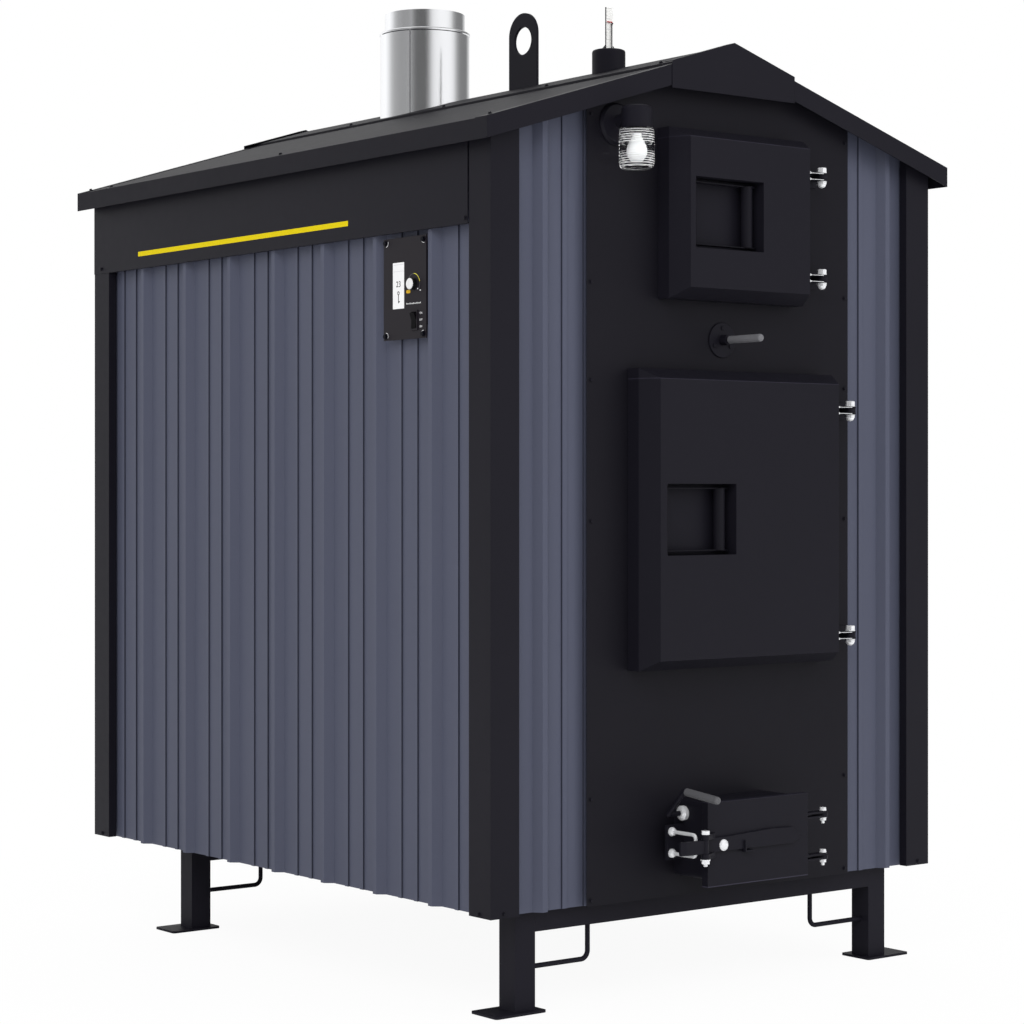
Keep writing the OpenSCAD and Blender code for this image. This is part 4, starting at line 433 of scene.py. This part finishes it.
def dress_nodes():
    """Gives every solid its paint."""
    wanted = {name: coat for coat, names in COATS.items() for name in names.split()}
    # painted highlights along the pressed edges, one thin line each
    bevel, line = 25.0 * MM, 1.2 * MM

    def edge_highlight(height, down, up, lighter):
        """A level line, so many line widths down and up from a height."""
        return height - down * line, height + up * line, lighter

    for door in ("upper_door", "lower_door"):
        low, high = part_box(door + "_skin")
        wanted[door + "_skin"] = door
        paint[door] = coated(door + "_coat", scaled(BLACK, 1.02), rough=0.48, variation=0.07,
                             edge_highlights=[edge_highlight(high.z - bevel, 1.0, 1.0, 2.6)])
        low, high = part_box(door + "_handle")
        wanted[door + "_handle"] = door + "_handle"
        # painted highlights along the handle's top and bottom edges, bright enough to show in the pocket's shade
        paint[door + "_handle"] = coated(door + "_handle_coat", scaled(BLACK, 0.8), rough=0.4,
                                         edge_highlights=[edge_highlight(high.z, 3.0, 1.0, 7.0), edge_highlight(low.z, 1.0, 3.0, 7.0)])
    low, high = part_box("ash_door")
    wanted["ash_door"] = "ash_door"
    # painted highlights along the ash door's lower and upper edges
    paint["ash_door"] = coated("ash_door_coat", BLACK,
                               edge_highlights=[edge_highlight(low.z, 1.0, 2.0, 4.5), edge_highlight(high.z, 1.0, 1.0, 2.2)])
    for name, piece in nodes.items():
        piece.data.materials.clear()
        piece.data.materials.append(paint[wanted[name]])


# ---------------------------------------------------------------- making small pieces

FILM = 0.25 * MM
FILM_BACK = 0.05 * MM


def settle(name, mesh, coat, body):
    """Makes mesh a piece of the object that rides on a body."""
    piece = bpy.data.objects.new(name, mesh)
    bpy.context.scene.collection.objects.link(piece)
    mesh.materials.append(paint[coat])
    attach(piece, body)
    return piece


def solid_piece(name, shape, coat, body):
    """Makes a piece of closed solids, and frees them."""
    bmesh.ops.recalc_face_normals(shape, faces=shape.faces)
    mesh = bpy.data.meshes.new(name)
    shape.to_mesh(mesh)
    shape.free()
    return settle(name, mesh, coat, body)


def prism(shape, front, back):
    """Adds a solid between two outlines with the same number of points."""
    front = [shape.verts.new(point) for point in front]
    back = [shape.verts.new(point) for point in back]
    shape.faces.new(front)
    shape.faces.new(back[::-1])
    for i in range(len(front)):
        j = (i + 1) % len(front)
        shape.faces.new((back[i], back[j], front[j], front[i]))


def film(name, outlines, at, across, coat, body, thick=FILM):
    """Flat shapes printed or stuck on an upright face. Each outline lists (across, up) points in mm,
    counter-clockwise seen from outside; at is their origin, and across the level direction along the face."""
    out = across.cross(UP)
    shape = bmesh.new()
    for outline in outlines:
        points = [at + across * u * MM + UP * v * MM for u, v in outline]
        prism(shape, [point + out * thick for point in points], [point - out * FILM_BACK for point in points])
    return solid_piece(name, shape, coat, body)


def arc(radius, width, start, end, steps=24, centre=(0.0, 0.0)):
    """Outline of a piece of a ring, from start to end degrees, in mm."""
    angles = [math.radians(start + (end - start) * i / steps) for i in range(steps + 1)]
    outer, inner = radius + width / 2, radius - width / 2
    return ([(centre[0] + outer * math.cos(a), centre[1] + outer * math.sin(a)) for a in angles]
            + [(centre[0] + inner * math.cos(a), centre[1] + inner * math.sin(a)) for a in reversed(angles)])


def disc(radius, corners, pitch):
    """Outline of a disc with so many corners, at a pitch in degrees, in mm."""
    return [(radius * math.cos(a), radius * math.sin(a)) for a in (math.radians(pitch * i) for i in range(corners))]


def rounded(u0, v0, u1, v1, radius):
    """Outline of a rectangle with rounded corners, in mm."""
    steps = 5
    points = []
    for cu, cv, start in ((u1 - radius, v0 + radius, -90), (u1 - radius, v1 - radius, 0),
                          (u0 + radius, v1 - radius, 90), (u0 + radius, v0 + radius, 180)):
        for i in range(steps + 1):
            a = math.radians(start + 90.0 * i / steps)
            points.append((cu + radius * math.cos(a), cv + radius * math.sin(a)))
    return points


def lettering(name, words, size, at, coat):
    """A plain word or number on the left wall, centred on at."""
    curve = bpy.data.curves.new(name, "FONT")
    curve.body = words
    curve.size = size
    curve.align_x = "CENTER"
    curve.align_y = "CENTER"
    curve.extrude = 0.15 * MM
    text = bpy.data.objects.new(name, curve)
    text.matrix_world = Matrix.Translation(at) @ Matrix((FORWARD, UP, FORWARD.cross(UP))).transposed().to_4x4()
    bpy.context.scene.collection.objects.link(text)
    bpy.context.view_layer.update()
    mesh = bpy.data.meshes.new_from_object(text)
    mesh.transform(text.matrix_world)
    bpy.data.objects.remove(text)
    return settle(name, mesh, coat, "boiler")


def turn(shape, profile, centre, steps=48):
    """Adds a solid turned about a vertical axis through centre; 6 steps make a hexagon.
    The profile lists (radius, height) points in mm, with both ends on the axis."""
    rings = []
    for radius, height in profile:
        if radius == 0.0:
            rings.append([shape.verts.new(centre + UP * height * MM)] * steps)
        else:
            rings.append([shape.verts.new(centre + Vector((radius * math.cos(a), radius * math.sin(a), height)) * MM)
                          for a in (2.0 * math.pi * i / steps for i in range(steps))])
    for first, second in zip(rings, rings[1:]):
        for i in range(steps):
            j = (i + 1) % steps
            shape.faces.new(list(dict.fromkeys((first[i], first[j], second[j], second[i]))))


def turned_piece(name, shape, coat):
    """Makes a piece of the boiler from turned solids: round where faces nearly meet flat, sharp elsewhere."""
    bmesh.ops.recalc_face_normals(shape, faces=shape.faces)
    for face in shape.faces:
        face.smooth = True
    for edge in shape.edges:
        edge.smooth = edge.calc_face_angle(0.0) < math.radians(35.0)
    return solid_piece(name, shape, coat, "boiler")


# ---------------------------------------------------------------- the side with the control

def on_left_wall(name, outlines, at, coat, thick=FILM):
    film(name, outlines, at, FORWARD, coat, "boiler", thick)


def dress_board():
    """The plain yellow stripe on the board under the eave."""
    low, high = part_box("sign_board")
    start = Vector((low.x, 766.0 * MM, low.z + 33.5 * MM))
    on_left_wall("board_stripe", [rounded(0.0, 0.0, 1036.0, 13.0, 0.8)], start, "yellow")


def dress_dial(at):
    """The marks round the knob, and the row of ticks under it."""
    radius = 25.0
    on_left_wall("dial_scale_hot", [arc(radius, 1.5, 12, 88)], at, "lemon")
    on_left_wall("dial_scale", [arc(radius, 0.8, -30, 10), arc(radius, 0.6, 90, 150)], at, "mark_grey")
    on_left_wall("dial_start", [rounded(-30.0, -21.0, -13.0, -13.0, 3.9)], at, "amber")
    on_left_wall("dial_ends", [rounded(14.5, -13.5, 18.5, -10.5, 1.0), rounded(24.5, -17.5, 29.5, -15.0, 1.0)],
                 at, "mark_white")
    tick, pitch, first, foot = 2.4, 4.6, -29.0, -47.5
    on_left_wall("dial_ticks", [rounded(first + i * pitch, foot, first + i * pitch + tick,
                                        foot + (2.5 if i % 3 else 3.5), 0.3) for i in range(13)], at, "mark_white")


def dress_display(at):
    """The number, the small scale under it and two faint rules on the display window."""
    lettering("display_number", "23", 20.0 * MM, at + Vector((-0.1, 0.0, 3.0)) * MM, "ink")
    on_left_wall("display_scale", [arc(3.6, 2.0, 0, 359, 20, (0.0, -18.0)), rounded(-1.2, -42.0, 1.2, -22.0, 0.5),
                                   rounded(1.2, -40.0, 6.0, -37.5, 0.5)], at, "ink")
    on_left_wall("display_rules", [rounded(-21.0, v, 21.0, v + 0.9, 0.2) for v in (34.0, 50.0)], at, "mark_pale")


def dress_control():
    """Marks, number and corner screws of the side control."""
    low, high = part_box("control_plate")
    knob_low, knob_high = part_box("control_knob")
    rocker_low, rocker_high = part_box("rocker_switch")
    window_low, window_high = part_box("display_window")
    face = window_low.x
    dress_dial(Vector((face, (knob_low.y + knob_high.y) / 2, (knob_low.z + knob_high.z) / 2)))
    beside = Vector((face - 0.1 * MM, rocker_low.y - 16.0 * MM, (rocker_low.z + rocker_high.z) / 2))
    for name, words, lift in (("mark_on", "ON", 16.0), ("mark_off", "OFF", 0.0), ("mark_on_low", "ON", -16.0)):
        lettering(name, words, 7.0 * MM, beside + UP * lift * MM, "mark_white")
    dress_display(Vector((face, (window_low.y + window_high.y) / 2, (window_low.z + window_high.z) / 2)))
    inset = 10.0 * MM
    rear, front, top, foot = high.y - inset, low.y + inset, high.z - inset, low.z + inset
    for name, y, z, start in (("rear_top", rear, top, -90), ("front_top", front, top, 170),
                              ("rear_foot", rear, foot, -30), ("front_foot", front, foot, 90)):
        corner = Vector((face, y, z))
        on_left_wall("rim_" + name, [arc(8.6, 1.3, start, start + 120)], corner, "mark_white")
        on_left_wall("screw_" + name, [disc(7.405, 24, 359.0 / 24)], corner, "screw", 1.6 * MM)
        on_left_wall("screw_head_" + name, [disc(5.605, 6, 60.0)], corner, "screw", 6.0 * MM)


# ---------------------------------------------------------------- chimney, hinges and lamp

def dress_chimney():
    """The lengthwise seam of the stainless pipe."""
    low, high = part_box("chimney_pipe")
    radius = (high.x - low.x) / 2
    out = Vector((-0.8241, -0.5665, 0.0))
    start = Vector(((low.x + high.x) / 2, (low.y + high.y) / 2, high.z - 241.0 * MM)) + out * radius
    film("chimney_seam", [rounded(-1.6, 0.0, 1.6, 232.0, 1.0)], start, UP.cross(out), "seam", "boiler", 0.6 * MM)


# in mm: the axis of each large door's hinges and the middles of their stacks, and the same of the ash door
DOOR_HINGES = {"upper_door": (296.0, -884.25, (2012.0, 1756.0)), "lower_door": (397.0, -884.25, (1426.0, 855.0))}
ASH_DOOR_HINGES = (234.5, -949.55, (419.0, 315.0))


def hinge_bolt(shape, x, y, z, half, across, head, bolt, dome):
    """Adds a bolt with a hexagon head, washers and a nut, which is domed on the large doors. All in mm:
    half the stack they hold, the width across flats, the head's height and the shank's radius."""
    centre = Vector((x, y, z)) * MM
    corner = across / math.sqrt(3.0)
    washer, nut, chamfer = 2.0, 6.4, 1.4
    top, foot = half + washer, -half - washer
    under = foot - nut

    def cylinder(radius, start, end):
        turn(shape, [(0.0, start), (radius, start), (radius, end), (0.0, end)], centre)

    cylinder(bolt, foot - 3.0, top + 1.0)
    for start in (half, foot):
        cylinder(corner * 1.07, start, start + washer)
    turn(shape, [(0.0, top), (corner, top), (corner, top + head - chamfer), (corner * 0.88, top + head),
                 (0.0, top + head)], centre, 6)
    turn(shape, [(0.0, under), (corner * 0.94, under), (corner, under + 0.8), (corner, foot), (0.0, foot)], centre, 6)
    if dome:
        dome_radius, dome_height = 0.86 * corner, 8.6
        swell = [(dome_radius * math.sin(a), under - dome_height * math.cos(a))
                 for a in (math.pi / 2.0 * i / 9.0 for i in range(1, 10))]
        turn(shape, [(0.0, under - dome_height)] + swell + [(0.0, under)], centre)
    else:
        tip, bevel, sunk = under - 7.5, 1.0, 0.5
        turn(shape, [(0.0, tip), (bolt - bevel, tip), (bolt, tip + bevel), (bolt, under + sunk), (0.0, under + sunk)],
             centre)


def dress_bolts():
    """The hinge bolts with their washers and nuts, finer than their solids."""
    shape = bmesh.new()
    for x, y, heights in DOOR_HINGES.values():
        for z in heights:
            hinge_bolt(shape, x, y, z, half=10.1, across=21.0, head=12.0, bolt=6.0, dome=True)
    x, y, heights = ASH_DOOR_HINGES
    for z in heights:
        hinge_bolt(shape, x, y, z, half=8.1, across=14.8, head=6.0, bolt=4.4, dome=False)
    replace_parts(turned_piece("hinge_bolts_fine", shape, "zinc"), "hinge_bolts")


# in mm: a weld bead from the door's edge along its ear, as (x, y, half height)
BEAD = [(-4.0, -2.3, 3.8), (4.0, -9.6, 3.8), (9.5, -10.8, 3.6), (17.5, -9.4, 0.7), (16.0, -7.0, 0.7), (2.0, 4.0, 3.8)]


def dress_hinges():
    """Weld beads where the hinge ears meet the doors' edges, in bright metal as painted glints, and thin bright
    strips along the ears as painted highlights on their edges.
    """
    ear_lift, strip_half = 7.8, 0.6
    for door, (_, _, hinge_heights) in DOOR_HINGES.items():
        # the axis lies 15 mm inside the ears' tips and 46 mm behind the door's face; the door's side 61 mm inside it
        low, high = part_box(door + "_skin")
        axis_x, axis_y = high.x / MM - 15.0, low.y / MM + 46.0
        edge_x = axis_x - 61.0
        root = Vector((edge_x + 14.0, axis_y - 8.0, 0.0)) * MM
        along = (Vector((axis_x, axis_y - 15.0, 0.0)) * MM - root).normalized()
        beads = bmesh.new()
        strips = []
        for height in hinge_heights:
            for middle in (height - ear_lift, height + ear_lift):
                prism(beads, [Vector((edge_x + x, axis_y + y, middle + h)) * MM for x, y, h in BEAD],
                      [Vector((edge_x + x, axis_y + y, middle - h)) * MM for x, y, h in BEAD])
                strips.append(rounded(2.0, middle - strip_half, 41.0, middle + strip_half, 0.4))
        # weld beads in bright metal, painted glints where the ears meet the door
        solid_piece(door + "_ear_weld_glints", beads, "bare", door)
        # thin bright strips along the ears, painted highlights on their edges
        film(door + "_ear_edge_highlights", strips, root, along, "bare", door)


def dress_lamp():
    """The pear-shaped bulb and the socket that holds it."""
    low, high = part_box("lamp_bulb")
    foot = Vector(((low.x + high.x) / 2, (low.y + high.y) / 2, low.z))
    radius, height = (high.x - low.x) / 2 / MM, (high.z - low.z) / MM
    neck, neck_radius = 69.0, 10.5
    globe = [(radius * math.sin(a), radius * (1.0 - math.cos(a))) for a in map(math.radians, range(0, 100, 9))]
    # the swell eases into the neck along a cosine
    swell_radius, swell_height = globe[-1]
    taper = [(neck_radius + (swell_radius - neck_radius) * (1.0 + math.cos(math.pi * u)) / 2,
              swell_height + (neck - swell_height) * u)
             for u in (0.08, 0.16, 0.25, 0.34, 0.43, 0.52, 0.61, 0.70, 0.79, 0.88, 1.0)]
    shape = bmesh.new()
    turn(shape, globe + taper + [(0.0, neck)], foot)
    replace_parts(turned_piece("lamp_bulb_pear", shape, "bulb"), "lamp_bulb")
    socket, shoulder, base = 13.5, 12.0, neck + 0.1
    shape = bmesh.new()
    turn(shape, [(0.0, base), (socket, base), (socket, height - 2.0), (shoulder, height), (0.0, height)], foot)
    turned_piece("lamp_socket", shape, "socket")


# ---------------------------------------------------------------- stage

# how bright the studio is round the object, by degrees to the right of the camera's side
SCREENS = [(-180, 0.82), (-137, 0.93), (-119, 0.955), (-105, 0.73), (-93, 0.455), (-82, 0.336), (-62, 0.273),
           (-45, 0.28), (-36, 0.33), (-30, 0.2), (-20, 0.11), (-4, 0.10), (4, 0.10), (12, 0.255), (20, 0.60),
           (28, 0.755), (45, 0.865), (62, 0.865), (72, 0.84), (82, 0.69), (93, 0.336), (105, 0.195), (119, 0.18),
           (137, 0.18), (152, 0.50), (180, 0.82)]
SCREENS_LIGHT = 1.1
WHITE_LIGHT = 0.92
# level, from the object to the photograph's side
VIEW_X, VIEW_Y = -0.615, -0.7885
WHITE = (1.0, 1.0, 1.0, 1.0)
# name, place, size and power of each lamp
LAMPS = [("key", (-7.0, -7.0, 7.5), 6.0, 430.0), ("fill", (6.5, -7.5, 5.0), 5.0, 185.0),
         ("back", (3.0, 9.0, 7.0), 6.0, 220.0)]


def make_floor():
    """A pale floor that turns into the plain white background away from the object."""
    size = 60.0
    mesh = bpy.data.meshes.new("floor")
    corners = [(-size, -size, 0.0), (size, -size, 0.0), (size, size, 0.0), (-size, size, 0.0)]
    mesh.from_pydata(corners, [], [(0, 1, 2, 3)])
    floor = bpy.data.objects.new("floor", mesh)
    bpy.context.scene.collection.objects.link(floor)
    material, t = new_material("floor_pale")
    point = t.place()[0]
    tone = t.mix(t.noise(point, 0.6, 2.0), (0.90, 0.90, 0.90, 1.0), (0.92, 0.92, 0.92, 1.0))
    matt = t.add("ShaderNodeBsdfPrincipled", {"Base Color": tone, "Roughness": 0.9, "Specular IOR Level": 0.1})
    white = t.add("ShaderNodeEmission", {"Color": WHITE, "Strength": 1.0})
    distance = t.add("ShaderNodeVectorMath", {0: point}, operation="LENGTH").outputs["Value"]
    fade = t.ramp(t.math("DIVIDE", distance, 4.0, clamp=True), [(0.15, 0.94), (0.6, 1.0)])
    share = t.times(t.add("ShaderNodeLightPath").outputs["Is Camera Ray"], fade)
    mixed = t.add("ShaderNodeMixShader", {0: share, 1: matt.outputs[0], 2: white.outputs[0]})
    t.add("ShaderNodeOutputMaterial", {0: mixed.outputs[0]})
    mesh.materials.append(material)


def make_world():
    """White all round. Bare metal reflects white walls, with a dark screen in front and one on the right."""
    world = bpy.data.worlds.new("studio")
    bpy.context.scene.world = world
    world.use_nodes = True
    t = Tree(world.node_tree)
    rays = t.add("ShaderNodeLightPath").outputs
    split = t.add("ShaderNodeSeparateXYZ", {0: t.add("ShaderNodeTexCoord").outputs["Generated"]})
    x, y = split.outputs[0], split.outputs[1]
    ahead = t.math("ADD", t.times(x, VIEW_X), t.times(y, VIEW_Y))
    aside = t.math("ADD", t.times(x, -VIEW_Y), t.times(y, VIEW_X))
    bearing = t.math("ADD", t.math("DIVIDE", t.math("ARCTAN2", aside, ahead), 2.0 * math.pi), 0.5)
    screens = t.ramp(bearing, [((degrees + 180.0) / 360.0, value) for degrees, value in SCREENS])
    shown = t.math("MAXIMUM", rays["Is Camera Ray"], rays["Is Transmission Ray"])
    glossy = t.times(rays["Is Glossy Ray"], t.times(screens, SCREENS_LIGHT))
    others = t.math("SUBTRACT", 1.0, t.math("MAXIMUM", shown, rays["Is Glossy Ray"]))
    strength = t.math("ADD", t.math("ADD", shown, glossy), t.times(others, WHITE_LIGHT))
    background = t.add("ShaderNodeBackground", {"Color": WHITE, "Strength": strength})
    t.add("ShaderNodeOutputWorld", {0: background.outputs[0]})


def make_lamps():
    """Three square lamps that look at the middle of the boiler."""
    middle = Vector((0.0, 0.0, 1.2))
    for name, where, size, power in LAMPS:
        data = bpy.data.lights.new(name, "AREA")
        data.shape = "SQUARE"
        data.size = size
        data.energy = power
        lamp = bpy.data.objects.new(name, data)
        lamp.location = where
        lamp.visible_glossy = False
        lamp.rotation_euler = (middle - Vector(where)).to_track_quat("-Z", "Y").to_euler()
        bpy.context.scene.collection.objects.link(lamp)


make_camera()
dress_nodes()
dress_board()
dress_control()
dress_chimney()
dress_hinges()
dress_bolts()
dress_lamp()
make_floor()
make_world()
make_lamps()
bpy.context.scene.view_settings.view_transform = "Standard"
